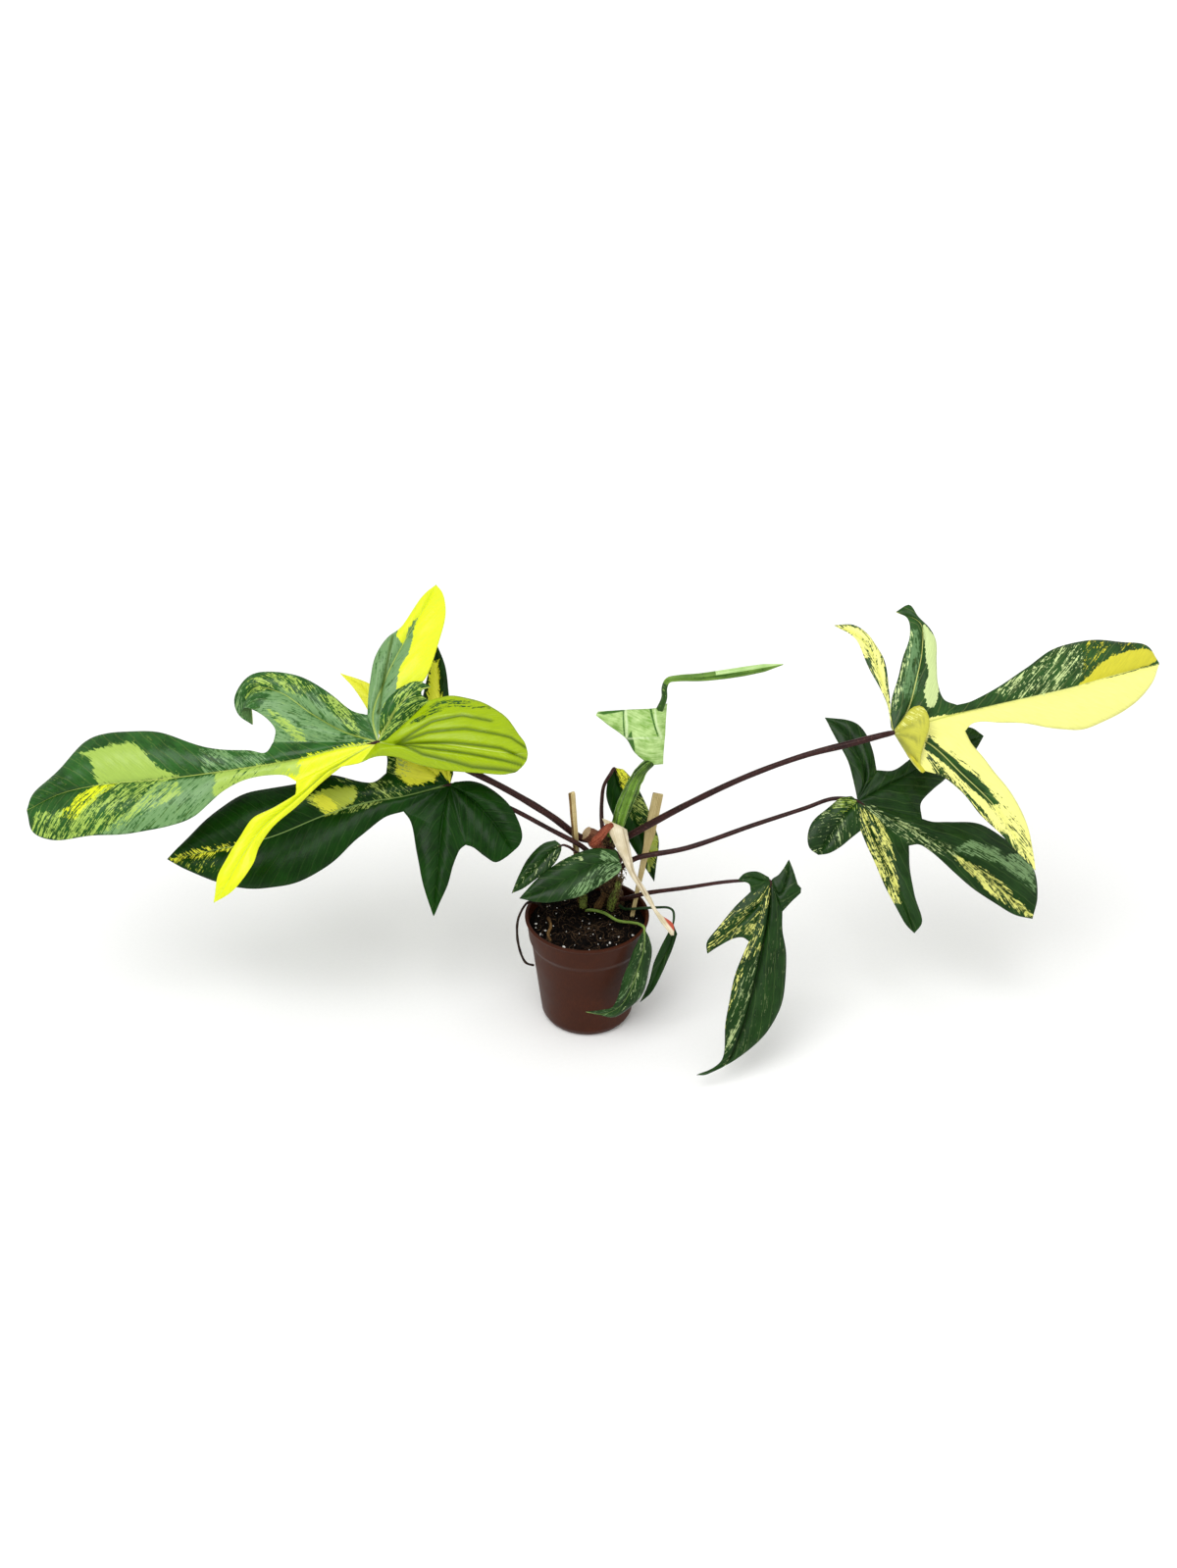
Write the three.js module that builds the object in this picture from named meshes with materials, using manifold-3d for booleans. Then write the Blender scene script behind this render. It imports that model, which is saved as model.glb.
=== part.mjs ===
// A potted climbing philodendron with deeply lobed, variegated leaves.
// Millimetres, +Z up. The origin is the middle of the pot's foot, and -Y is the front.
import * as THREE from "three";
import { mergeVertices } from "three/addons/utils/BufferGeometryUtils.js";
import Module from "manifold-3d";

const wasm = await Module();
wasm.setup();

// Driving dimensions
const GAP = 0.3;
const BLADE_THICKNESS = 1;
// The pot is round, with a stepped collar and a thin lip: [radius, height] up the outside and
// down the inside, and drain holes on a circle.
const POT = {
  outside: [
    [36.5, 0], [38.5, 1.6], [41, 6.4], [48.8, 79], [52.3, 86.5], [53.4, 104.6], [55, 105],
    [55, 107],
  ],
  inside: [[52, 107], [50.9, 86.5], [47.7, 78.5], [39.5, 6], [36.3, 2.2]],
  sides: 48, holes: 8, holeRadius: 3.5, holeCircle: 25, holeSides: 8,
};
const MIX = { top: [[51.1, 96.5], [40, 97.7], [22, 98.4], [0, 98]], sides: 32 };
// Split bamboo stakes. A stake's outline is [distance from its top, width] down its length,
// and its turn about its own length is in degrees.
const STAKES = {
  left: {
    foot: [-4, 39, 56], top: [-13, 7, 230], turn: 25, thickness: 2.8,
    outline: [[0, 5.6], [80, 5.2], [150, 4], [176, 3]],
  },
  right: {
    foot: [31, -2, 52], top: [62.3, 46, 204], turn: 0, thickness: 2.8,
    outline: [[0, 9.2], [36, 9.8], [50, 6.4], [84, 4.4], [162, 3]],
  },
};

// Leaf blades. A blade lies on a drooping sheet through its junction with the petiole. The sheet
// faces the azimuth and elevation given, in degrees, and the midrib's heading turns
// anticlockwise on its face from the right-hand horizontal. Points are [along, across, lift]:
// millimetres along the midrib, to its left, and off the sheet. Lobes follow each other
// anticlockwise round the junction, with a notch between neighbours, and each has a spine, a
// right and a left edge seen from the junction outwards, and a tip.
const BLADES = {
  upper_left: {
    junction: [-177, 15, 276], azimuth: -8, elevation: 50, heading: 196, droop: [3, 5],
    notches: [
      [[-3, -10]], [[5, -26]], [[88, -19]], [[73, 20]], [[16, 15]],
      [[-17, -1, 1], [-29, -13, 2], [-49, -28, 2]], [[-4, -7, 2]],
    ],
    lobes: [
      { // upright
        spine: [[0, -26], [-16, -58], [-35, -87], [-56, -116]],
        right: [[-9, -20], [-21, -31], [-35, -40], [-49, -50], [-65, -83], [-74, -107], [-74, -127]],
        left: [[-1, -55], [-9, -78], [-21, -94], [-35, -102], [-56, -128]],
        tip: [-69, -139, -4],
      },
      { // rolled over at its end
        spine: [[27, -15], [52, -37], [77, -63], [100, -72]],
        right: [
          [17, -32], [35, -53], [60, -75], [83, -84], [100, -85], [111, -78], [119, -68, -6],
          [118, -56, -14],
        ],
        left: [[85, -29], [90, -40], [99, -49, 2], [109, -56], [114, -56, -8]],
        tip: [108, -46, -18],
      },
      { // terminal
        spine: [[38, -1], [65, 1], [136, -3], [193, -9], [245, -17], [283, -18]],
        right: [
          [96, -11], [110, -16], [146, -27], [189, -52], [234, -62], [255, -60], [279, -41],
          [306, -25],
        ],
        left: [
          [83, 12], [113, 9], [136, 14], [164, 31], [187, 34], [220, 33], [254, 27], [294, 21],
          [310, 10],
        ],
        tip: [314, -11],
      },
      { // hanging strap
        spine: [[29, 11], [51, 21], [77, 37], [105, 52], [127, 73], [145, 95]],
        right: [[76, 32], [92, 38], [113, 45, 3], [134, 65], [150, 85]],
        left: [[23, 11], [39, 18], [72, 39], [98, 55], [113, 68, -3], [120, 83], [138, 100]],
        tip: [159, 106, -6],
      },
      { // domed rear lobe
        spine: [[-16, 7, 3], [-46, 13, 10], [-86, 26, 10], [-109, 32, 6]],
        right: [[2, 13, 2], [-14, 17, 2], [-30, 26, 2], [-57, 37, 1], [-85, 44], [-108, 46]],
        left: [[-69, -29], [-92, -19], [-109, -4], [-119, 16]],
        tip: [-123, 32, -2],
      },
      { // small curled rear lobe
        spine: [[-12, -12, 6], [-25, -25, 12], [-41, -34, 14]],
        right: [[-44, -32, 8], [-46, -35, 12]],
        left: [[-5, -12, 8], [-12, -27, 13], [-27, -38, 16], [-42, -42, 16]],
        tip: [-53, -37, 10],
      },
    ],
  },
  lower_left: {
    junction: [-118, 22, 229], azimuth: -4, elevation: 47, heading: 197, droop: [3, 4],
    notches: [[[-5, -8]], [[21, -56]], [[51, -24]], [[44, 13]], [[-1, 55]], [[-5, -1]]],
    lobes: [
      { // upright rear lobe
        spine: [[-1, -27], [-6, -58], [-11, -89], [-14, -112]],
        right: [[-12, -51], [-17, -77], [-20, -106]],
        left: [[7, -80], [-5, -105]],
        tip: [-17, -131],
      },
      { // pointed upper lobe
        spine: [[26, -34], [40, -70], [54, -105]],
        right: [[32, -84], [47, -107]],
        left: [[47, -38], [50, -64], [55, -87], [62, -107]],
        tip: [71, -125],
      },
      { // terminal
        spine: [[42, 0], [71, -3], [110, -2], [163, 4], [224, 0]],
        right: [[64, -19], [101, -36], [132, -36], [172, -40], [198, -34], [231, -17]],
        left: [[61, 14], [86, 25], [118, 42], [141, 48], [164, 48], [198, 39], [237, 13]],
        tip: [255, -4, -4],
      },
      { // hanging lobe
        spine: [[11, 24], [20, 48], [31, 80]],
        right: [[40, 23], [41, 53], [42, 79]],
        left: [[5, 58], [13, 69], [23, 86]],
        tip: [40, 107, -3],
      },
      { // rear lobe
        spine: [[-15, 17], [-30, 45]],
        right: [[-7, 59], [-15, 69], [-22, 76], [-31, 74]],
        left: [[-19, 2], [-31, 10], [-46, 32], [-50, 58], [-46, 66]],
        tip: [-39, 70, -2],
      },
    ],
  },
  upper_right: {
    junction: [259, 18, 284], azimuth: 8, elevation: 50, heading: 10, droop: [3, 5],
    notches: [[[3, 3, 5]], [[15, -39]], [[60, -14]], [[61, 10]], [[2, 16]], [[-1, 5]]],
    lobes: [
      { // rear lobe, folded forward over itself
        spine: [[1, -9, 3], [3, -22, 5], [6, -30, 3]],
        right: [
          [10, 8, 9], [17, 13, 14], [24, 12, 17], [27, 4, 18], [26, -6, 15], [19, -17, 10],
          [13, -28, 5],
        ],
        left: [[13, -40]],
        tip: [10, -39, 2],
      },
      { // hanging strap
        spine: [[24, -15], [45, -49], [65, -85], [76, -123]],
        right: [[29, -48], [39, -63], [50, -87], [62, -108], [74, -129]],
        left: [[62, -26], [70, -46], [79, -69], [85, -89], [86, -107], [85, -123]],
        tip: [83, -142, -4],
      },
      { // terminal
        spine: [[21, 1], [44, 2], [107, 2], [164, 2], [215, 5]],
        right: [
          [69, -9], [94, -14], [120, -22], [144, -32], [164, -36], [187, -33], [218, -24],
          [241, -10],
        ],
        left: [[74, 10], [102, 17], [133, 28], [162, 39], [194, 41], [229, 33], [251, 24]],
        tip: [258, 8, -4],
      },
      { // upright with a hooked end
        spine: [[17, 15], [36, 43], [50, 68], [56, 90]],
        right: [[52, 17], [51, 32], [57, 51], [63, 70], [62, 84], [57, 98, -2], [54, 110, -4]],
        left: [[8, 29], [21, 48], [31, 64], [42, 79], [47, 92], [47, 100, -3]],
        tip: [42, 108, -8],
      },
      { // slim rear lobe
        spine: [[3, 22], [5, 53], [3, 84]],
        right: [[6, 29], [13, 62], [12, 76], [7, 92], [-2, 103]],
        left: [[3, 27], [-2, 59], [-3, 87], [-9, 98]],
        tip: [-16, 108, -4],
      },
    ],
  },
  lower_right: {
    junction: [236, 34, 204], azimuth: 6, elevation: 46, heading: 322, droop: [3, 4],
    notches: [[[-7, 0, 2]], [[16, -21]], [[58, -8]], [[55, 19]], [[-1, 33]], [[-3, 3]]],
    lobes: [
      { // round rear lobe
        spine: [[-3, -16], [-4, -36]],
        right: [[-14, -7, 3], [-18, -19], [-23, -38], [-20, -51], [-13, -59]],
        left: [[12, -33], [9, -43], [4, -53]],
        tip: [-3, -59, -3],
      },
      { // hanging lobe
        spine: [[25, -18], [53, -35], [86, -57]],
        right: [[46, -41], [70, -56], [91, -67]],
        left: [[69, -24], [84, -41], [103, -58]],
        tip: [103, -69, -3],
      },
      { // terminal
        spine: [[13, 1], [52, 7], [92, 12], [122, 11], [158, 6]],
        right: [[65, -2], [79, -1], [103, -5], [125, -7], [147, -7], [167, -5]],
        left: [[64, 22], [77, 31], [101, 45], [135, 46], [161, 39], [176, 20]],
        tip: [183, 2, -3],
      },
      { // upper lobe
        spine: [[12, 23], [26, 49], [41, 85]],
        right: [[47, 30], [49, 46], [53, 60], [56, 76], [62, 97]],
        left: [[11, 41], [18, 58], [25, 85], [38, 108], [49, 116]],
        tip: [62, 117, -2],
      },
      { // upright rear lobe
        spine: [[-7, 24], [-25, 39], [-45, 48]],
        right: [[-13, 46], [-24, 55], [-36, 59], [-47, 57]],
        left: [[-23, 23], [-37, 32], [-52, 41]],
        tip: [-64, 49, -3],
      },
    ],
  },
  front_right: {
    junction: [159, -16, 154], azimuth: 5, elevation: 34, heading: 253, droop: [2, 5],
    notches: [[[-3, -3]], [[13, -15]], [[55, -6]], [[23, 16]], [[-3, 1]]],
    lobes: [
      { // small rear lobe
        spine: [[1, -9], [1, -18]],
        right: [[-5, -14], [-1, -24]],
        left: [[7, -18]],
        tip: [6, -28, -1],
      },
      { // side lobe
        spine: [[20, -5], [40, -17], [61, -29]],
        right: [[31, -26], [50, -35], [65, -41]],
        left: [[53, -12], [56, -20], [66, -31]],
        tip: [74, -38, -3],
      },
      { // terminal with a drip tip
        spine: [[28, 5], [79, 8], [124, 8], [160, 2]],
        right: [[81, -10], [102, -10], [128, -8], [159, -3], [171, -5], [176, -11]],
        left: [
          [39, 20], [57, 28], [80, 33], [103, 35], [126, 29], [145, 18], [164, 4], [176, -7],
        ],
        tip: [178, -21, -1],
      },
      { // upright rear lobe
        spine: [[9, 10], [-4, 13]],
        right: [[12, 22], [1, 28], [-3, 23], [-10, 19]],
        left: [[-7, 5]],
        tip: [-22, 11, -2],
      },
    ],
  },
  back: {
    junction: [24, 66, 218], azimuth: 4, elevation: 6, heading: 287, droop: [2, 6],
    notches: [[[11, -10]], [[4, 7]]],
    lobes: [
      {
        spine: [[14, -2], [45, 0], [84, 2]],
        right: [[25, -15], [43, -15], [70, -10], [97, -5]],
        left: [[11, 10], [26, 14], [45, 16], [69, 17], [85, 16], [105, 8]],
        tip: [126, 0, -3],
      },
    ],
  },
  small_left: {
    junction: [-22, 4, 178], azimuth: -10, elevation: 44, heading: 230, droop: [2, 8],
    notches: [[[1, -7]], [[3, 3]]],
    lobes: [
      {
        spine: [[11, -3], [29, -3], [46, -2]],
        right: [[10, -12], [29, -12], [46, -6]],
        left: [[9, 6], [23, 8], [38, 6], [50, 4]],
        tip: [60, 0, -2],
      },
    ],
  },
  small_front: {
    junction: [29, -4, 166], azimuth: 4, elevation: 50, heading: 198, droop: [3, 8],
    notches: [[[0, -11]], [[1, 5]]],
    lobes: [
      {
        spine: [[18, -6], [47, -3], [72, -1]],
        right: [[11, -17], [20, -20], [36, -20], [52, -18], [73, -11]],
        left: [[4, 8], [21, 13], [46, 16], [70, 12], [83, 6]],
        tip: [93, -1, -2],
      },
    ],
  },
  over_rim: {
    junction: [50, -35, 117], azimuth: 24, elevation: 10, heading: 254, droop: [2, 5],
    notches: [[[8, -3]], [[8, 6]]],
    lobes: [
      {
        spine: [[19, 3], [38, 2], [59, -1], [74, -7], [82, -21]],
        right: [[19, -6], [34, -9], [61, -12], [76, -15], [78, -26]],
        left: [[19, 11], [38, 13], [62, 11], [77, 1], [85, -10], [83, -25]],
        tip: [79, -41, 2],
      },
    ],
  },
  narrow: {
    junction: [76, -8, 102], azimuth: 12, elevation: 20, heading: 242, droop: [2, 5],
    notches: [[[8, -1]], [[7, 7]]],
    lobes: [
      {
        spine: [[17, 5], [37, 5], [60, 5]],
        right: [[25, -2], [39, -2], [58, 2]],
        left: [[15, 8], [29, 9], [46, 9], [66, 7]],
        tip: [77, 2, -1],
      },
    ],
  },
};
// The new leaf is still rolled, and the dry sheath is a folded strip: one strip of surface each.
const STRIPS = {
  new_leaf: {
    junction: [39, 22, 283], azimuth: -8, elevation: 28, heading: 8, droop: [0, 0],
    spine: [[-30, 17, -4], [-3, 7, 8], [16, -3, 9], [27, -4]],
    right: [[-31, 15, -4], [-19, 5], [-6, -6, 3], [1, -19, 2], [13, -29, 1], [23, -30, -4]],
    left: [[-29, 18, -4], [-3, 18], [22, 18], [30, 21, -6]],
  },
  dry_sheath: {
    junction: [24, 18, 191], azimuth: 18, elevation: 36, heading: 288, droop: [3, 6],
    spine: [[0, 0, 2], [19, -5, 3], [44, -6, 2], [73, -4, 1], [110, 0]],
    right: [[-9, -7, -3], [7, -8, -1], [25, -9], [45, -9], [72, -6], [94, -4], [110, -1]],
    left: [[10, 8, -3], [20, 4, -1], [34, -1], [46, -4], [71, -2], [87, -2], [102, 5], [111, 1]],
  },
};
// How finely the curved pieces are divided. A camber is the rise of each half of a lobe, as a
// share of its width.
const CAMBER = 0.07;
const SEAM_STEPS = 3;
const EDGE_STEP = 22;
const EDGE_STEPS = { least: 3, most: 12 };
const SPINE_SAMPLES = 60;
const STRIP_STEPS = 10;
const COLUMNS = 4;
const LIMB_STEP = 12;
const LEAST_LIMB_STEPS = 5;

// Stems, petioles and roots: [x, y, z] points, with radii spread evenly along them.
const STEM = {
  points: [[24, 30, 62], [24, 30, 98], [19, 29, 125], [16, 28, 150], [19, 28, 172]],
  radii: [7, 10, 9, 8, 7], sides: 12,
};
const CROWN_STUB = {
  points: [[15, 28, 160], [7, 27, 169], [-1, 25.5, 176]], radii: [8, 7.5, 6], sides: 10,
};
const NEW_SHEATH = {
  points: [
    [19, 28, 166], [25, 27, 179], [31, 25, 201], [39, 20, 227], [47, 13, 250], [53, 8, 260],
  ],
  radii: [6, 6.6, 7.8, 7.4, 6, 4.8], sides: 10,
};
const NEW_NECK = {
  points: [
    [61, 28, 299], [65, 27, 312], [65, 27, 322], [68, 26, 330], [77, 26, 332], [95, 26, 333],
    [120, 27, 336], [144, 28, 340], [163, 28, 344],
  ],
  radii: [3, 2.4, 2.4, 3, 3.6, 4, 4, 3.4, 0.5], sides: 8,
};
const PETIOLES = {
  upper_left: {
    points: [
      [10, 27, 167], [-6, 26, 171], [-13, 24, 178], [-33, 20, 199], [-83, 20, 234],
      [-132, 21, 259], [-165, 22, 271],
    ],
    radii: [3.6, 2.4], sides: 8,
  },
  lower_left: {
    points: [
      [14, 28, 152], [6, 25, 153], [0, 19, 162], [-7, 11.5, 173.6], [-33, 9, 192],
      [-63, 14, 208], [-92, 24, 217], [-112, 28, 223],
    ],
    radii: [2.5, 1.8], sides: 8,
  },
  upper_right: {
    points: [
      [18, 28, 160], [27, 28, 165], [40, 26, 175], [86, 22, 208], [136, 20, 238], [185, 18, 261],
      [225, 20, 272], [250, 23, 278],
    ],
    radii: [3.4, 2.4], sides: 8,
  },
  lower_right: {
    points: [
      [18, 28, 138], [29, 24, 141], [44, 22, 152], [87, 24, 161], [147, 30, 182], [190, 36, 195],
      [216, 41, 202],
    ],
    radii: [2.6, 1.8], sides: 8,
  },
  front_right: {
    points: [
      [26, 29, 102], [34, 19, 110], [43, 12, 118], [53, 8, 124], [87, -2, 137], [120, -10, 149],
      [141, -12, 152],
    ],
    radii: [2.4, 1.3], sides: 6,
  },
  back: {
    points: [[15, 30, 166], [13, 41, 178], [13, 50, 193], [15, 56, 206], [21, 60, 216]],
    radii: [2, 1.4], sides: 6,
  },
  small_left: {
    points: [[15, 25, 149], [6, 18, 154], [-2, 14, 160.6], [-9, 8, 167.6], [-16, 6, 175]],
    radii: [1.5, 1.1], sides: 6,
  },
  small_front: {
    points: [[15, 26, 162], [22, 16, 165], [27, 6, 166]],
    radii: [1.9, 1.4], sides: 6,
  },
  over_rim: {
    points: [
      [-1, 18, 92], [0, 16, 99], [6, 12, 102], [15, 7, 103], [27, -3, 102], [39, -14, 108],
      [46, -26, 115],
    ],
    radii: [1.5, 1.3], sides: 6,
  },
  narrow: {
    points: [
      [27, 25, 100], [33, 16, 101], [40, 9, 106], [50, 6, 109], [62, 3, 112], [72, 1, 113],
      [76, 0, 110],
    ],
    radii: [1.4, 1], sides: 6,
  },
};
const STUBS = {
  old_red_sheath: {
    points: [[9, 21, 168], [6, 14, 172], [10, 12, 180], [15, 14, 186], [21, 16, 191]],
    radii: [4, 4.5, 4.2, 3], sides: 8,
  },
  old_green_sheath_left: {
    points: [[-4, 22, 88], [-4, 22, 98], [-3, 24, 109]], radii: [3.2, 3.4, 3.6], sides: 8,
  },
  old_brown_sheath: {
    points: [[8, 21, 92], [10, 19.5, 102], [13, 18.5, 109], [15, 18.5, 115]],
    radii: [3.2, 3.4, 2], sides: 8,
  },
  old_green_sheath_right: {
    points: [[20, 19, 92], [22, 18.5, 106], [25, 18.5, 116], [28, 19.5, 127]],
    radii: [3.4, 3.6, 2.2], sides: 8,
  },
};
const ROOTS = {
  aerial_root: {
    points: [
      [-38, 22, 90], [-42, 18, 103], [-47, 12, 111], [-53, 4, 116], [-60, -2, 106], [-62, -5, 90],
      [-59, -6, 68], [-54, -5, 56], [-48, -4, 53],
    ],
    radii: [1.1, 1.1], sides: 6,
  },
  surface_root: {
    points: [[-35, 9, 94], [-34, 4, 99], [-32, -8, 99], [-34, -20, 99], [-29, -31, 95]],
    radii: [1.6, 1.2], sides: 6,
  },
};

const COLOUR = {
  pot: 0x42241a, mix: 0x1c1512, stem: 0x4a3524, stub: 0x6b4632, stake: 0xd9c88e, petiole: 0x3f2324,
  green: 0x24482a, lime: 0xb5d317, pale: 0xf0ee7c, fresh: 0x9fca74, sheath: 0x6fae3c,
  cream: 0xeadfc8, red: 0x9a4a34, root: 0x2e2420, oldGreen: 0x7f9a45, brown: 0x6a4226,
};

const vector = ([x, y, z]) => new THREE.Vector3(x, y, z);
const radians = THREE.MathUtils.degToRad;

function toSolid(geometry) {
  const bare = new THREE.BufferGeometry();
  bare.setAttribute("position", geometry.getAttribute("position").clone());
  if (geometry.index) {
    bare.setIndex(geometry.index.clone());
  }
  const merged = mergeVertices(bare, 1e-4);
  return new wasm.Manifold(new wasm.Mesh({
    numProp: 3,
    vertProperties: new Float32Array(merged.getAttribute("position").array),
    triVerts: new Uint32Array(merged.index.array),
  }));
}

function toGeometry(solid) {
  const mesh = solid.getMesh();
  const geometry = new THREE.BufferGeometry();
  geometry.setAttribute("position", new THREE.BufferAttribute(mesh.vertProperties, 3));
  geometry.setIndex(new THREE.BufferAttribute(mesh.triVerts, 1));
  return geometry;
}

function largestPiece(solid) {
  const pieces = solid.decompose();
  return pieces.reduce((best, piece) => (piece.volume() > best.volume() ? piece : best));
}

// Cuts a solid back from its neighbours and keeps the biggest piece that is left.
function cutBack(solid, neighbours) {
  const cut = neighbours.reduce((rest, neighbour) => rest.subtract(neighbour), solid);
  return largestPiece(cut);
}

function closedGeometry(points, triangles) {
  const geometry = new THREE.BufferGeometry().setFromPoints(points);
  geometry.setIndex(triangles);
  return geometry;
}

// A round limb along a smooth curve, with its radius run through the values given, and flat ends.
function limb({ points, radii, sides }, extra = 0) {
  const curve = new THREE.CatmullRomCurve3(points.map(vector), false, "centripetal");
  const steps = Math.max(LEAST_LIMB_STEPS, Math.round(curve.getLength() / LIMB_STEP));
  const frames = curve.computeFrenetFrames(steps, false);
  const rings = [];
  for (let k = 0; k <= steps; k += 1) {
    const place = (k / steps) * (radii.length - 1);
    const from = Math.min(Math.floor(place), radii.length - 2);
    const radius = THREE.MathUtils.lerp(radii[from], radii[from + 1], place - from) + extra;
    const centre = curve.getPointAt(k / steps);
    for (let i = 0; i < sides; i += 1) {
      const angle = (i / sides) * 2 * Math.PI;
      rings.push(centre.clone()
        .addScaledVector(frames.normals[k], radius * Math.cos(angle))
        .addScaledVector(frames.binormals[k], radius * Math.sin(angle)));
    }
  }
  const first = rings.push(curve.getPointAt(0)) - 1;
  const last = rings.push(curve.getPointAt(1)) - 1;
  const triangles = [];
  for (let k = 0; k < steps; k += 1) {
    for (let i = 0; i < sides; i += 1) {
      const a = k * sides + i;
      const b = k * sides + ((i + 1) % sides);
      triangles.push(a, b, b + sides, a, b + sides, a + sides);
    }
  }
  for (let i = 0; i < sides; i += 1) {
    const next = (i + 1) % sides;
    triangles.push(first, next, i, last, steps * sides + i, steps * sides + next);
  }
  return toSolid(closedGeometry(rings, triangles));
}

// A blade's directions: the way it faces, along its midrib, and across it to the left.
function axesOf({ azimuth, elevation, heading }) {
  const az = radians(azimuth);
  const el = radians(elevation);
  const normal = new THREE.Vector3(
    Math.sin(az) * Math.cos(el), -Math.cos(az) * Math.cos(el), Math.sin(el));
  const level = new THREE.Vector3(Math.cos(az), Math.sin(az), 0);
  const along = level.applyAxisAngle(normal, radians(heading));
  const across = new THREE.Vector3().crossVectors(normal, along);
  return { normal, along, across };
}

// The sheet that a blade lies on, with its droop off flat in millimetres at 100 mm along and
// at 100 mm across.
function sheetOf(shape) {
  const { normal, along, across } = axesOf(shape);
  const { junction, droop } = shape;
  const origin = vector(junction);
  return ({ x, y, z }) => {
    const backwards = Math.min(x, 0) / 100;
    const forwards = Math.max(x, 0) / 100;
    const sideways = y / 100;
    const fall = droop[0] * forwards ** 2 + droop[1] * (backwards ** 2 + sideways ** 2);
    return origin.clone()
      .addScaledVector(along, x)
      .addScaledVector(across, y)
      .addScaledVector(normal, z - fall);
  };
}

const flatPoint = ([x, y, z = 0]) => new THREE.Vector3(x, y, z);

function smooth(points, steps) {
  return new THREE.CatmullRomCurve3(points, false, "centripetal").getSpacedPoints(steps);
}

// Rows across a lobe: from its right edge, over its spine, to its left edge, each half arched.
function crossRows(rightEdge, spine, leftEdge) {
  return rightEdge.map((right, row) => {
    const left = leftEdge[row];
    const arch = CAMBER * right.distanceTo(left);
    const points = [];
    for (let column = 0; column <= COLUMNS; column += 1) {
      const side = (2 * column) / COLUMNS - 1;
      const point = spine[row].clone().lerp(side < 0 ? right : left, Math.abs(side));
      point.z += arch * Math.sin(Math.PI * Math.abs(side));
      points.push(point);
    }
    return points;
  });
}

// One lobe as rows of points: the first rows share a seam with the neighbouring lobe, from the
// junction to the notch between them, and the rest run out along the lobe's free edges.
function lobeRows(lobe, seamRight, seamLeft) {
  const start = new THREE.Vector3();
  const tip = flatPoint(lobe.tip);
  const edgeSteps = THREE.MathUtils.clamp(
    Math.round(tip.length() / EDGE_STEP), EDGE_STEPS.least, EDGE_STEPS.most);
  const edge = (seam, free) => {
    const seamPoints = [start, ...seam.map(flatPoint)];
    const notch = seamPoints[seamPoints.length - 1];
    const inner = smooth(seamPoints, SEAM_STEPS);
    const outer = smooth([notch, ...free.map(flatPoint), tip], edgeSteps);
    return [...inner, ...outer.slice(1)];
  };
  const rightEdge = edge(seamRight, lobe.right);
  const leftEdge = edge(seamLeft, lobe.left);
  const spinePoints = smooth([start, ...lobe.spine.map(flatPoint), tip], SPINE_SAMPLES);
  const waist = rightEdge[SEAM_STEPS].clone().lerp(leftEdge[SEAM_STEPS], 0.5);
  const distances = spinePoints.map((point) => point.distanceTo(waist));
  const waistShare = distances.indexOf(Math.min(...distances)) / SPINE_SAMPLES;
  const spine = rightEdge.map((_, row) => {
    const share = row <= SEAM_STEPS
      ? (waistShare * row) / SEAM_STEPS
      : waistShare + ((1 - waistShare) * (row - SEAM_STEPS)) / edgeSteps;
    return spinePoints[Math.round(share * SPINE_SAMPLES)];
  });
  return crossRows(rightEdge, spine, leftEdge);
}

// Joins grids of points into one surface and gives it a thickness: a top and a bottom face,
// offset along the surface's normals, with a wall round the free edge.
function slab(grids, thickness) {
  const points = [];
  const numbers = new Map();
  const numberOf = (point) => {
    const key = [point.x, point.y, point.z].map((value) => value.toFixed(3)).join();
    if (!numbers.has(key)) {
      numbers.set(key, points.push(point) - 1);
    }
    return numbers.get(key);
  };
  const triangles = [];
  const addTriangle = (a, b, c) => {
    if (a !== b && b !== c && c !== a) {
      triangles.push([a, b, c]);
    }
  };
  for (const grid of grids) {
    const rows = grid.map((row) => row.map(numberOf));
    for (let i = 0; i + 1 < rows.length; i += 1) {
      for (let j = 0; j + 1 < rows[i].length; j += 1) {
        addTriangle(rows[i][j], rows[i + 1][j], rows[i + 1][j + 1]);
        addTriangle(rows[i][j], rows[i + 1][j + 1], rows[i][j + 1]);
      }
    }
  }
  const surface = closedGeometry(points, triangles.flat());
  surface.computeVertexNormals();
  const normals = surface.getAttribute("normal");
  const offset = (side) => points.map((point, number) => point.clone().addScaledVector(
    new THREE.Vector3().fromBufferAttribute(normals, number), (side * thickness) / 2));
  const count = points.length;
  const faces = triangles.flatMap(([a, b, c]) => [a, b, c, a + count, c + count, b + count]);
  const edges = new Set(triangles.flatMap(([a, b, c]) => [`${a},${b}`, `${b},${c}`, `${c},${a}`]));
  for (const edge of edges) {
    const [a, b] = edge.split(",").map(Number);
    if (!edges.has(`${b},${a}`)) {
      faces.push(a + count, b + count, b, a + count, b, a);
    }
  }
  return toSolid(closedGeometry([...offset(1), ...offset(-1)], faces));
}

function blade(name, thickness = BLADE_THICKNESS) {
  const shape = BLADES[name];
  const place = sheetOf(shape);
  const grids = shape.lobes.map((lobe, k) => (
    lobeRows(lobe, shape.notches[k], shape.notches[k + 1]).map((row) => row.map(place))));
  return slab(grids, thickness);
}

function strip(name, thickness = BLADE_THICKNESS) {
  const shape = STRIPS[name];
  const place = sheetOf(shape);
  const edge = (points) => smooth(points.map(flatPoint), STRIP_STEPS);
  const rows = crossRows(edge(shape.right), edge(shape.spine), edge(shape.left));
  return slab([rows.map((row) => row.map(place))], thickness);
}

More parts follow.
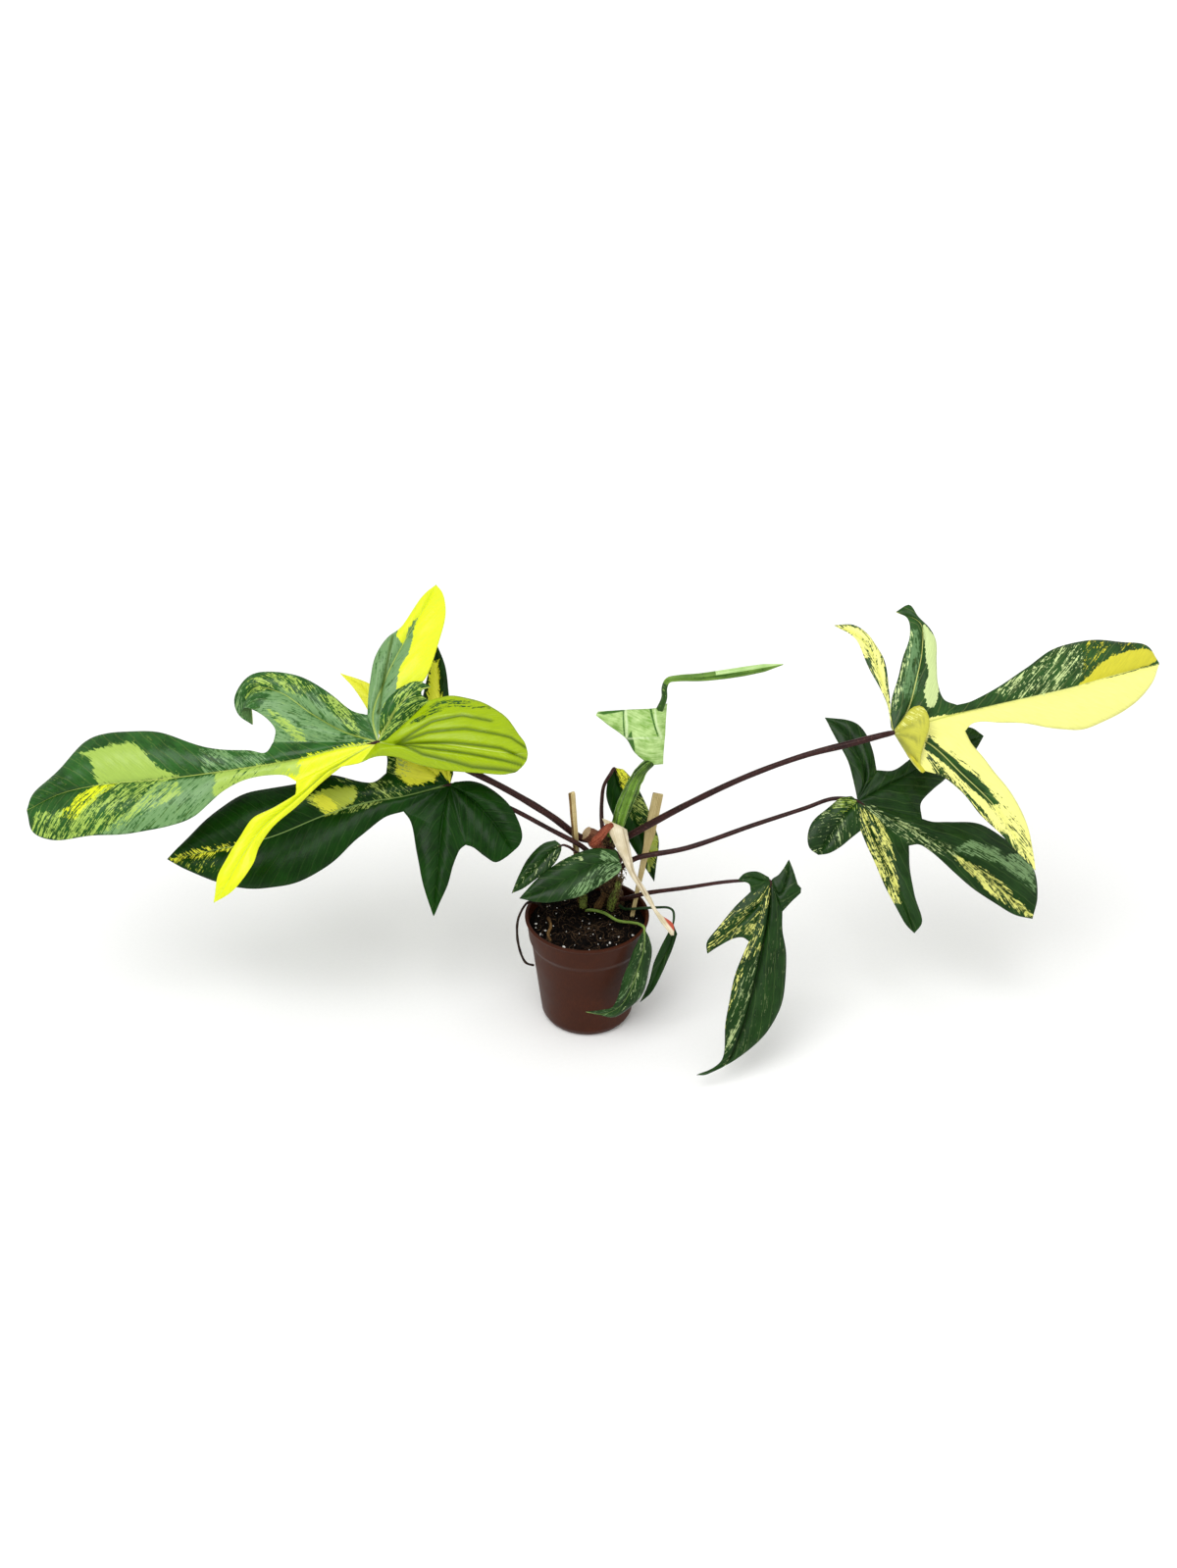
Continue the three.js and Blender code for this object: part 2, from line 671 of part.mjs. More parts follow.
// A petiole runs on to the junction of its blade and ends flat against the side it comes from.
function petioleTo(name, extra = 0) {
  const petiole = PETIOLES[name];
  const { normal } = axesOf(BLADES[name]);
  const junction = vector(BLADES[name].junction);
  const side = Math.sign(vector(petiole.points[0]).sub(junction).dot(normal));
  const outward = normal.multiplyScalar(side);
  const solid = limb({ ...petiole, points: [...petiole.points, junction.toArray()] }, extra);
  return solid.trimByPlane(
    outward.toArray(), junction.dot(outward) + BLADE_THICKNESS / 2 + GAP);
}

function lathe(profile, segments) {
  const points = profile.map(([radius, height]) => new THREE.Vector2(radius, height));
  const geometry = new THREE.LatheGeometry(points, segments);
  geometry.rotateX(Math.PI / 2);
  return toSolid(geometry);
}

function makePot() {
  const [, floor] = POT.inside[POT.inside.length - 1];
  const shell = lathe([[0, 0], ...POT.outside, ...POT.inside, [0, floor]], POT.sides);
  const holes = Array.from({ length: POT.holes }, (_, k) => {
    const angle = (2 * Math.PI * (k + 0.5)) / POT.holes;
    const hole = new THREE.CylinderGeometry(
      POT.holeRadius, POT.holeRadius, 4 * floor, POT.holeSides);
    hole.rotateX(Math.PI / 2);
    hole.translate(POT.holeCircle * Math.cos(angle), POT.holeCircle * Math.sin(angle), 0);
    return toSolid(hole);
  });
  return holes.reduce((solid, hole) => solid.subtract(hole), shell);
}

// The mix fills the pot to just under its rim, round what stands in it.
function makeMix(neighbours) {
  const side = POT.inside.slice(1).map(([radius, height]) => [radius - GAP, height]).reverse();
  const floor = side[0][1] + GAP;
  side[0][1] = floor;
  return cutBack(lathe([[0, floor], ...side, ...MIX.top], MIX.sides), neighbours);
}

function makeStake({ foot, top, turn, thickness, outline }, extra = 0) {
  const axis = vector(top).sub(vector(foot));
  const length = axis.length();
  const right = outline.map(([fall, width]) => new THREE.Vector2(
    width / 2 + extra, Math.max(length - fall, 0)));
  const left = right.map(({ x, y }) => new THREE.Vector2(-x, y)).reverse();
  const solid = new THREE.ExtrudeGeometry(new THREE.Shape([...right, ...left]), {
    depth: thickness + 2 * extra, bevelEnabled: false,
  });
  solid.translate(0, 0, -thickness / 2 - extra);
  solid.rotateX(Math.PI / 2);
  solid.rotateZ(radians(turn));
  solid.applyQuaternion(new THREE.Quaternion().setFromUnitVectors(
    new THREE.Vector3(0, 0, 1), axis.normalize()));
  solid.translate(...foot);
  return toSolid(solid);
}

const plant = new THREE.Group();

function addPart(name, solid, color, roughness) {
  const material = new THREE.MeshStandardMaterial({ color, roughness, metalness: 0 });
  const mesh = new THREE.Mesh(toGeometry(solid), material);
  mesh.name = name;
  plant.add(mesh);
}

// Pot, stem and what stands at the crown
const stemSpace = limb(STEM, GAP);
const crownStubSpace = limb(CROWN_STUB, GAP);
const newSheath = cutBack(limb(NEW_SHEATH), [stemSpace]);
const newSheathSpace = limb(NEW_SHEATH, GAP);
const crownSpace = [stemSpace, crownStubSpace, newSheathSpace];

addPart("pot", makePot(), COLOUR.pot, 0.45);
addPart("stem", limb(STEM), COLOUR.stem, 0.8);
addPart("crown_stub", cutBack(limb(CROWN_STUB), [stemSpace, newSheathSpace]), COLOUR.stub, 0.7);
addPart("new_leaf_sheath", cutBack(newSheath, [strip("new_leaf", BLADE_THICKNESS + 2 * GAP)]),
  COLOUR.sheath, 0.4);
addPart("new_leaf", strip("new_leaf").add(limb(NEW_NECK)), COLOUR.fresh, 0.4);
addPart("dry_sheath", cutBack(strip("dry_sheath"), crownSpace), COLOUR.cream, 0.7);

for (const [name, shape] of Object.entries(STAKES)) {
  addPart(`stake_${name}`, makeStake(shape), COLOUR.stake, 0.75);
}

// Leaves
const bladeColour = { upper_left: COLOUR.lime, upper_right: COLOUR.pale };
for (const name of Object.keys(BLADES)) {
  addPart(`petiole_${name}`, cutBack(petioleTo(name), crownSpace), COLOUR.petiole, 0.5);
  addPart(`blade_${name}`, blade(name), bladeColour[name] ?? COLOUR.green, 0.4);
}

// Old sheaths and roots
const stubColour = { old_red_sheath: COLOUR.red, old_brown_sheath: COLOUR.brown };
const stubSpace = [...crownSpace, strip("dry_sheath", BLADE_THICKNESS + 2 * GAP)];
for (const [name, shape] of Object.entries(STUBS)) {
  addPart(name, cutBack(limb(shape), stubSpace), stubColour[name] ?? COLOUR.oldGreen, 0.7);
}
for (const [name, shape] of Object.entries(ROOTS)) {
  addPart(name, limb(shape), COLOUR.root, 0.8);
}

const inMix = [
  stemSpace,
  ...Object.values(STAKES).map((shape) => makeStake(shape, GAP)),
  ...Object.values(STUBS).map((shape) => limb(shape, GAP)),
  ...Object.values(ROOTS).map((shape) => limb(shape, GAP)),
  petioleTo("over_rim", GAP),
];
addPart("potting_mix", makeMix(inMix), COLOUR.mix, 0.95);

export default plant;
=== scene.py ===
"""Looks of a potted climbing philodendron with deeply lobed, variegated leaves.

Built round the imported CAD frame: metres, +Z up, the origin at the middle of the pot's foot and
-Y at the front. Control points are in millimetres, as in the CAD source, and are written as
text: "x y z, x y z", where a height of 0 may be left out.
"""

from __future__ import annotations

import logging
import math
from dataclasses import dataclass, field
from enum import Enum
from typing import Sequence

import bpy
import numpy as np
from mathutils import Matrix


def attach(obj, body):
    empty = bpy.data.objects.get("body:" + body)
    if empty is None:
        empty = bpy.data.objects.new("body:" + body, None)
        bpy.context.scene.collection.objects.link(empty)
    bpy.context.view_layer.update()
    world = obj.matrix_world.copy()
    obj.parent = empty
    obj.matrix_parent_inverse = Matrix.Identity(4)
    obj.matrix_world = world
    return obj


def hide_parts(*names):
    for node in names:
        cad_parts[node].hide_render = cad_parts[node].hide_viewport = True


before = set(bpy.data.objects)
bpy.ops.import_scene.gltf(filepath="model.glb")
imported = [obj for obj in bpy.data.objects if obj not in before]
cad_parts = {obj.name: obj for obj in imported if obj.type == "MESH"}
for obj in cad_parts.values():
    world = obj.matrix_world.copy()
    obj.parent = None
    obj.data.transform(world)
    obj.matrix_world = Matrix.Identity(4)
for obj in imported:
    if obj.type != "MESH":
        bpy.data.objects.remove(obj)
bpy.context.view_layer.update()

logging.basicConfig(level=logging.INFO, format="%(message)s")
LOG = logging.getLogger("philodendron")

MM = 0.001
UV_UNIT = 100.0  # millimetres to one unit of a UV map
CAMBER = 0.07  # rise of each half of a lobe, as a share of its width
GROOVE_DEPTH, GROOVE_WIDTH = 0.75, 1.5  # millimetres, of the groove along a main vein
FURROW_WIDTH = 1.5  # millimetres from a pleat's middle to where it has risen by two thirds
RIDGE = 0.16  # millimetres that the side veins' ridges stand up
TIP_REACH = 12.0  # millimetres from a lobe's tip in which grooves and waves fade out
MAP_SHIFT = 300.0  # millimetres between the two halves of a lobe on the vein map
NO_TONE, FULL_TONE = -3.0, 4.0  # the ends of a tone's field
SPAN_STEPS = 48  # from one control point to the next, before a curve is divided evenly
STALK_STEPS = 90  # along a leaf's stalk
DOME_RINGS = 5  # in the dome at the end of a limb
LUMP_REACH, FIBRE_REACH, FIBRE_LIMIT = 47.0, 44.0, 48.0  # millimetres from the pot's axis

Points = str  # as the first lines say
Array = np.ndarray
Piece, Material, Socket = bpy.types.Object, bpy.types.Material, bpy.types.NodeSocket


# ---- shapes


def as_points(text: Points, axes: int = 3) -> Array:
    """Returns control points as an N x axes array, with 0 for a height left out."""
    rows = ([float(number) for number in point.split()] for point in text.split(","))
    return np.array([(*row, 0.0)[:axes] for row in rows])


def arc_lengths(path: Array) -> Array:
    """Returns how far along a path each of its points lies."""
    return np.concatenate([[0], np.cumsum(np.linalg.norm(np.diff(path, axis=0), axis=1))])


def spread(values: Sequence[float], steps: int) -> Array:
    """Returns values set out evenly along something that is divided into equal steps."""
    return np.interp(np.linspace(0, 1, steps + 1), np.linspace(0, 1, len(values)), values)


def through(points: Array, steps: int) -> Array:
    """Runs a smooth curve through points and divides it evenly.

    Formula: each span is a cubic whose end slopes come from its neighbours, weighted by the
    square root of the spans' lengths (a centripetal Catmull-Rom curve). The ends mirror the
    first and last span. The result is spaced evenly by arc length.

    Args:
        points: N x 3 control points.
        steps: how many equal steps to divide the curve into.

    Returns:
        (steps + 1) x 3 points.
    """
    whole = np.vstack([2 * points[0] - points[1], points, 2 * points[-1] - points[-2]])
    p0, p1, p2, p3 = whole[:-3], whole[1:-2], whole[2:-1], whole[3:]
    d0, d1, d2 = (np.sqrt(np.linalg.norm(b - a, axis=1))[:, None] + 1e-9
                  for a, b in ((p0, p1), (p1, p2), (p2, p3)))
    leave = ((p1 - p0) / d0 - (p2 - p0) / (d0 + d1) + (p2 - p1) / d1) * d1
    arrive = ((p2 - p1) / d1 - (p3 - p1) / (d1 + d2) + (p3 - p2) / d2) * d1
    t = np.linspace(0, 1, SPAN_STEPS, endpoint=False)[None, :, None]
    a, b, m, n = p1[:, None], p2[:, None], leave[:, None], arrive[:, None]
    curve = a + m * t + (3 * (b - a) - 2 * m - n) * t**2 + (2 * (a - b) + m + n) * t**3
    curve = np.vstack([curve.reshape(-1, 3), points[-1]])
    length = arc_lengths(curve)
    wanted = np.linspace(0, length[-1], steps + 1)
    return np.stack([np.interp(wanted, length, curve[:, k]) for k in range(3)], 1)


def ramp(values: Array, start: float, end: float) -> Array:
    """Returns 0 before start and 1 after end, with a smooth rise between them."""
    t = np.clip((values - start) / (end - start), 0, 1)
    return t * t * (3 - 2 * t)


def unit(vectors: Array) -> Array:
    """Returns vectors scaled to a length of one."""
    return vectors / (np.linalg.norm(vectors, axis=-1, keepdims=True) + 1e-12)


@dataclass(frozen=True)
class Rumple:
    """An uneven field in space. Formula: a sum of seeded sine waves in random directions.

    Attributes:
        seed: which waves are drawn.
        length: the waves' typical length in millimetres.
        waves: how many waves are summed.
    """

    seed: int
    length: float
    waves: int = 14

    def at(self, points: Array) -> Array:
        """Works the field out.

        Args:
            points: an array whose last axis is x, y and z.

        Returns:
            The field at each point, from about -1 to 1.
        """
        draw = np.random.default_rng(self.seed)
        directions = unit(draw.normal(size=(3, self.waves)).T).T
        lengths = self.length * draw.uniform(0.6, 1.6, self.waves)
        phases = draw.uniform(0, 2 * math.pi, self.waves)
        total = np.sin(points @ (directions * 2 * math.pi / lengths) + phases).sum(-1)
        return total / math.sqrt(self.waves)


def signed_depth(outline: Array, points: Array) -> Array:
    """Measures how deep points lie inside an outline, negative outside.

    Formula: the distance to the nearest side, with the sign of an even-odd crossing count.

    Args:
        outline: M x 2 corners, in order.
        points: an array whose last axis is x and y.

    Returns:
        The depths, in the units of the points.
    """
    a, b = outline, np.roll(outline, -1, axis=0)
    p = points[..., None, :]
    side = b - a
    share = np.clip(((p - a) * side).sum(-1) / ((side**2).sum(-1) + 1e-9), 0, 1)
    distance = np.linalg.norm(p - a - share[..., None] * side, axis=-1).min(-1)
    px, py = points[..., None, 0], points[..., None, 1]
    rise = np.where(side[:, 1] == 0, 1e-9, side[:, 1])
    crosses = ((a[:, 1] > py) != (b[:, 1] > py)) & (
        px < a[:, 0] + (py - a[:, 1]) / rise * side[:, 0])
    return np.where(crosses.sum(-1) % 2 == 1, distance, -distance)


def line_distance(line: Array, points: Array) -> Array:
    """Measures how far points lie from the nearest side of an open line.

    Args:
        line: M x 2 corners, in order.
        points: an array whose last axis is x and y.

    Returns:
        The distances, in the units of the points.
    """
    a, side = line[:-1], np.diff(line, axis=0)
    p = points[..., None, :]
    share = np.clip(((p - a) * side).sum(-1) / ((side**2).sum(-1) + 1e-9), 0, 1)
    return np.linalg.norm(p - a - share[..., None] * side, axis=-1).min(-1)


@dataclass
class Grid:
    """A surface as rows of points, with what its finish reads at every point.

    Attributes:
        points: rows x columns x 3, in millimetres. The face looks towards rows cross columns.
        flat: rows x columns x 2, the surface's own map in millimetres.
        vein: rows x columns x 2, a second map in millimetres, or None for the first again.
        extras: named rows x columns x 3 values for the finish.
        material: which of the piece's materials it takes.
    """

    points: Array
    flat: Array
    vein: Array | None = None
    extras: dict[str, Array] = field(default_factory=dict)
    material: int = 0


def build_piece(name: str, grids: Sequence[Grid], materials: Sequence) -> Piece:
    """Joins grids into one mesh object at the origin.

    Formula: every four neighbouring points make a face; points that fall together to within a
    thousandth of a millimetre are welded, and a corner that repeats drops out of its face.

    Args:
        name: the piece's name.
        grids: its surfaces.
        materials: its materials, in the order the grids number them.

    Returns:
        The object, smooth shaded, in metres.
    """
    points = np.vstack([grid.points.reshape(-1, 3) for grid in grids])
    flat = np.vstack([grid.flat.reshape(-1, 2) for grid in grids])
    vein = np.vstack([(grid.flat if grid.vein is None else grid.vein).reshape(-1, 2)
                      for grid in grids])
    starts = np.cumsum([0] + [grid.points[..., 0].size for grid in grids])
    quads, kinds = [], []
    for start, grid in zip(starts, grids):
        rows, columns = grid.points.shape[:2]
        number = np.arange(rows * columns).reshape(rows, columns) + start
        corners = [number[:-1, :-1], number[1:, :-1], number[1:, 1:], number[:-1, 1:]]
        quads.append(np.stack(corners, -1).reshape(-1, 4))
        kinds.append(np.full(len(quads[-1]), grid.material))
    quads, kinds = np.vstack(quads), np.concatenate(kinds)
    _, first, welded = np.unique(
        np.round(points * 1000).astype(np.int64), axis=0, return_index=True, return_inverse=True)
    welded = welded.ravel()
    around = welded[quads]
    kept = around != np.roll(around, 1, axis=1)
    distinct = (np.diff(np.sort(around, axis=1), axis=1) > 0).sum(1) + 1
    whole = (kept.sum(1) >= 3) & (distinct == kept.sum(1))
    quads, kept, kinds, around = quads[whole], kept[whole], kinds[whole], around[whole]
    loops = quads[kept]
    faces = np.split(around[kept], np.cumsum(kept.sum(1))[:-1])
    mesh = bpy.data.meshes.new(name)
    mesh.from_pydata(points[first] * MM, [], [face.tolist() for face in faces])
    for map_name, values in (("flat", flat), ("vein", vein)):
        layer = mesh.uv_layers.new(name=map_name)
        layer.data.foreach_set("uv", (values[loops] / UV_UNIT).astype(np.float32).ravel())
    for key in sorted({key for grid in grids for key in grid.extras}):
        values = np.vstack([grid.extras.get(key, np.zeros(grid.points.shape)).reshape(-1, 3)
                            for grid in grids])
        attribute = mesh.attributes.new(key, "FLOAT_VECTOR", "CORNER")
        attribute.data.foreach_set("vector", values[loops].astype(np.float32).ravel())
    mesh.polygons.foreach_set("use_smooth", np.ones(len(faces), bool))
    for material in materials:
        mesh.materials.append(material)
    mesh.polygons.foreach_set("material_index", kinds.astype(np.int32))
    mesh.update()
    piece = bpy.data.objects.new(name, mesh)
    bpy.context.scene.collection.objects.link(piece)
    return piece


def settle(piece: Piece, slot: str, *nodes: str) -> None:
    """Puts a piece in place of its CAD nodes and reports it.

    Args:
        piece: the finished object.
        slot: a material slot's name; not used.
        nodes: the CAD nodes that it stands for.
    """
    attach(piece, "root")
    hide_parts(*nodes)
    LOG.info("%s: %d faces", piece.name, len(piece.data.polygons))


def thicken(piece: Piece, thickness: float, under: int = 0) -> None:
    """Gives a surface its thickness.

    Args:
        piece: the surface's object.
        thickness: in millimetres, half of it to each side.
        under: how much further on in the list of materials the under side's one stands.
    """
    wall = piece.modifiers.new("thickness", "SOLIDIFY")
    wall.thickness = thickness * MM
    wall.offset = 0.0
    wall.material_offset = under


def tube(path: Array, radii: Array, sides: int, flatness: float = 1.0,
         ribs: int = 0, rib_depth: float = 0.0, reference: Sequence[float] = (0, 0, 1),
         material: int = 0) -> Grid:
    """Carries a round or oval section along a path.

    Formula: each ring is centre + r (cos a * u + flatness sin a * v), where u and v are square
    to the path, u lies square to a fixed reference direction too, and r swells by
    rib_depth cos(ribs a).

    Args:
        path: rows x 3 centres in millimetres.
        radii: one radius for each centre.
        sides: how many faces go round.
        flatness: the section's height over its width.
        ribs: how many ribs go round.
        rib_depth: the ribs' height as a share of the radius.
        reference: the direction that the section's width stays square to.
        material: the material's number.

    Returns:
        An open tube, its face outward.
    """
    along = unit(np.gradient(path, axis=0))
    wide = unit(np.cross(along, np.array(reference, float)))
    high = np.cross(wide, along)
    angle = np.linspace(0, 2 * math.pi, sides + 1)
    angle_grid = angle[None, :, None]
    reach = radii[:, None, None] * (1 + rib_depth * np.cos(ribs * angle_grid))
    points = path[:, None] + reach * (
        np.cos(angle_grid) * wide[:, None] + flatness * np.sin(angle_grid) * high[:, None])
    points[:, -1] = points[:, 0]
    length = arc_lengths(path)[:, None] * np.ones(sides + 1)
    girth = angle[None, :] * float(np.mean(radii)) * np.ones((len(path), 1))
    return Grid(points, np.stack([length, girth], -1), material=material)


def swell(limb: Grid, path: Array, share: Array) -> None:
    """Moves a tube's points out from its path. Formula: centre + (1 + share) (point - centre).

    Args:
        limb: the tube, which is changed.
        path: its centres.
        share: how far each point moves, as a share of its distance from its centre.
    """
    centre = path[:, None]
    limb.points = centre + (limb.points - centre) * (1 + share)[..., None]
    limb.points[:, -1] = limb.points[:, 0]


def rounded(path: Array, radii: Array, share: float) -> tuple[Array, Array]:
    """Adds a domed end to both ends of a limb.

    Formula: the end rings step outward by share r sin u while their radius falls as r cos u,
    for u from 0 to a right angle.

    Args:
        path: rows x 3 centres.
        radii: one radius for each centre.
        share: how far a dome stands out, in radii.

    Returns:
        The longer path and its radii, both closing on a point.
    """
    turn = np.linspace(0, math.pi / 2, DOME_RINGS + 1)[1:]
    rings = []
    for end, inner in ((0, 1), (-1, -2)):
        out = unit(path[end] - path[inner])
        rings.append((path[end] + share * radii[end] * np.sin(turn)[:, None] * out,
                      radii[end] * np.cos(turn)))
    (start, start_radii), (stop, stop_radii) = rings
    start_radii[-1] = stop_radii[-1] = 0
    return (np.vstack([start[::-1], path, stop]),
            np.concatenate([start_radii[::-1], radii, stop_radii]))


def lathe(profile: Array, sides: int) -> Grid:
    """Turns a profile round the Z axis.

    Formula: (r cos a, r sin a, z) for each profile point (r, z), with the way up the profile
    crossed with the turn looking outward.

    Args:
        profile: rows x 2 radii and heights in millimetres, anticlockwise round the section.
        sides: how many faces go round.

    Returns:
        The turned surface.
    """
    angle = np.linspace(0, 2 * math.pi, sides + 1)
    ring = np.stack([np.cos(angle), np.sin(angle)], -1)
    ring[-1] = ring[0]
    radius, height = profile.T
    x, y = radius[:, None] * ring[:, 0], radius[:, None] * ring[:, 1]
    points = np.stack(np.broadcast_arrays(x, y, height[:, None]), -1)
    walk = arc_lengths(profile)
    flat = np.stack(np.broadcast_arrays(walk[:, None], angle[None] * radius.max()), -1)
    return Grid(points[:, ::-1], flat[:, ::-1])


def soften(corners: Array, radius: float, steps: int = 4) -> Array:
    """Rounds the corners of a profile.

    Formula: each inner corner turns into a quadratic curve that leaves and meets its two sides
    at the given distance, or at a little under half the shorter side.

    Args:
        corners: the profile's corners (r, z).
        radius: that distance, in millimetres.
        steps: how many steps each corner is divided into.

    Returns:
        The rounded profile as rows x 2.
    """
    before, here, after = corners[:-2], corners[1:-1], corners[2:]
    reach_in = np.minimum(radius, 0.45 * np.linalg.norm(before - here, axis=1))[:, None]
    reach_out = np.minimum(radius, 0.45 * np.linalg.norm(after - here, axis=1))[:, None]
    start = (here + unit(before - here) * reach_in)[:, None]
    end = (here + unit(after - here) * reach_out)[:, None]
    t = np.linspace(0, 1, steps + 1)[None, :, None]
    curve = (1 - t) ** 2 * start + 2 * t * (1 - t) * here[:, None] + t**2 * end
    return np.vstack([corners[:1], curve.reshape(-1, 2), corners[-1:]])


# ---- finishes


def srgb(colour: str) -> tuple[float, float, float, float]:
    """Returns an sRGB hex colour as linear red, green, blue and alpha."""
    parts = (int(colour[k:k + 2], 16) / 255 for k in (1, 3, 5))
    return (*(c / 12.92 if c <= 0.04045 else ((c + 0.055) / 1.055) ** 2.4 for c in parts), 1.0)


def per(*sizes: float) -> list[float]:
    """Returns a Mapping node's scale that gives a UV map patterns of these millimetres."""
    return [UV_UNIT / size for size in (*sizes, UV_UNIT)[:3]]


def cubes(size: float) -> list[float]:
    """Returns a Mapping node's scale that gives Object coordinates patterns of that size."""
    return [1 / (MM * size)] * 3


class Paint:
    """A material being made: its node tree, and the one way in which nodes are added to it."""

    def __init__(self, name: str) -> None:
        """Starts an empty material.

        Args:
            name: its name.
        """
        self.material = bpy.data.materials.new(name)
        self.material.use_nodes = True
        self.tree = self.material.node_tree
        self.tree.nodes.clear()

    def add(self, kind: str, links: dict | None = None, out: int = 0,
            **settings) -> Socket | None:
        """Adds a node.

        Args:
            kind: the node's type, without the words that all shader nodes start with.
            links: what each input, by name or number, is linked to or set to.
            out: which of its outputs is wanted.
            settings: the node's own settings.

        Returns:
            That output, or None where the node has none.
        """
        node = self.tree.nodes.new(f"ShaderNode{kind}")
        for key, value in settings.items():
            setattr(node, key, value)
        for key, value in (links or {}).items():
            if isinstance(value, Socket):
                self.tree.links.new(value, node.inputs[key])
            else:
                node.inputs[key].default_value = value
        return node.outputs[out] if node.outputs else None

    def total(self, *terms: tuple[Socket, float]) -> Socket:
        """Adds sockets up.

        Args:
            terms: each socket with its weight.

        Returns:
            The sum of every socket times its weight.
        """
        result = 0.0
        for socket, weight in terms:
            result = self.add("Math", {0: socket, 1: weight, 2: result},
                              operation="MULTIPLY_ADD")
        return result

    def layered(self, base: Socket | str, *layers: tuple) -> Socket:
        """Lays colours over one another.

        Args:
            base: the lowest colour, as a socket or in hex.
            layers: (field, start, end, strength, colour in hex) for each colour over it, which
                shows as the field goes from start to end, up to its strength.

        Returns:
            The colour.
        """
        colour = srgb(base) if isinstance(base, str) else base
        for shown, start, end, strength, hue in layers:
            share = self.add("MapRange", {0: shown, 1: start, 2: end, 4: strength})
            colour = self.add("Mix", {0: share, 6: colour, 7: srgb(hue)}, 2, data_type="RGBA")
        return colour

    def finish(self, colour: Socket, roughness: Socket | float, height: Socket, bump: float,
               **constants: float) -> Material:
        """Ends the material in its shader.

        Args:
            colour: the base colour.
            roughness: the roughness.
            height: what the bump reads.
            bump: the bump's real height in millimetres.
            constants: values for the shader's own sockets, with _ for a space.

        Returns:
            The material.
        """
        normal = self.add("Bump", {"Height": height, "Strength": 0.6, "Distance": bump * MM})
        shader = self.add("BsdfPrincipled", {
            "Base Color": colour, "Roughness": roughness, "Normal": normal,
            **{key.replace("_", " "): value for key, value in constants.items()}})
        self.add("OutputMaterial", {"Surface": shader})
        return self.material


UNDER_BLOOM = "#8aa86c"  # the grey-green that veils a leaf's under side


class Tone(Enum):
    """A colour that part of a leaf takes: (attribute, channel, edge), where a high
    edge draws it in crisp streaks and a low one lets it fade. Variegation gives the lime,
    yellow, pale and deep ones; the first, a soft greyish green, is partly lighter tissue and
    mostly painted sheen, the wax's broad reflection laid into the colour."""

    # Painted sheen, in part: the wax's broad reflection laid into the colour as soft greyish
    # patches.
    GREY = ("tones_a", 0, 3.0)
    LIME = ("tones_a", 1, 15.0)
    YELLOW = ("tones_a", 2, 15.0)
    PALE = ("tones_b", 0, 14.0)
    DEEP = ("tones_b", 1, 14.0)


GREY, LIME, YELLOW, PALE, DEEP = Tone


class Side(Enum):
    """A side of a leaf."""

    UPPER = "upper"
    UNDER = "under"


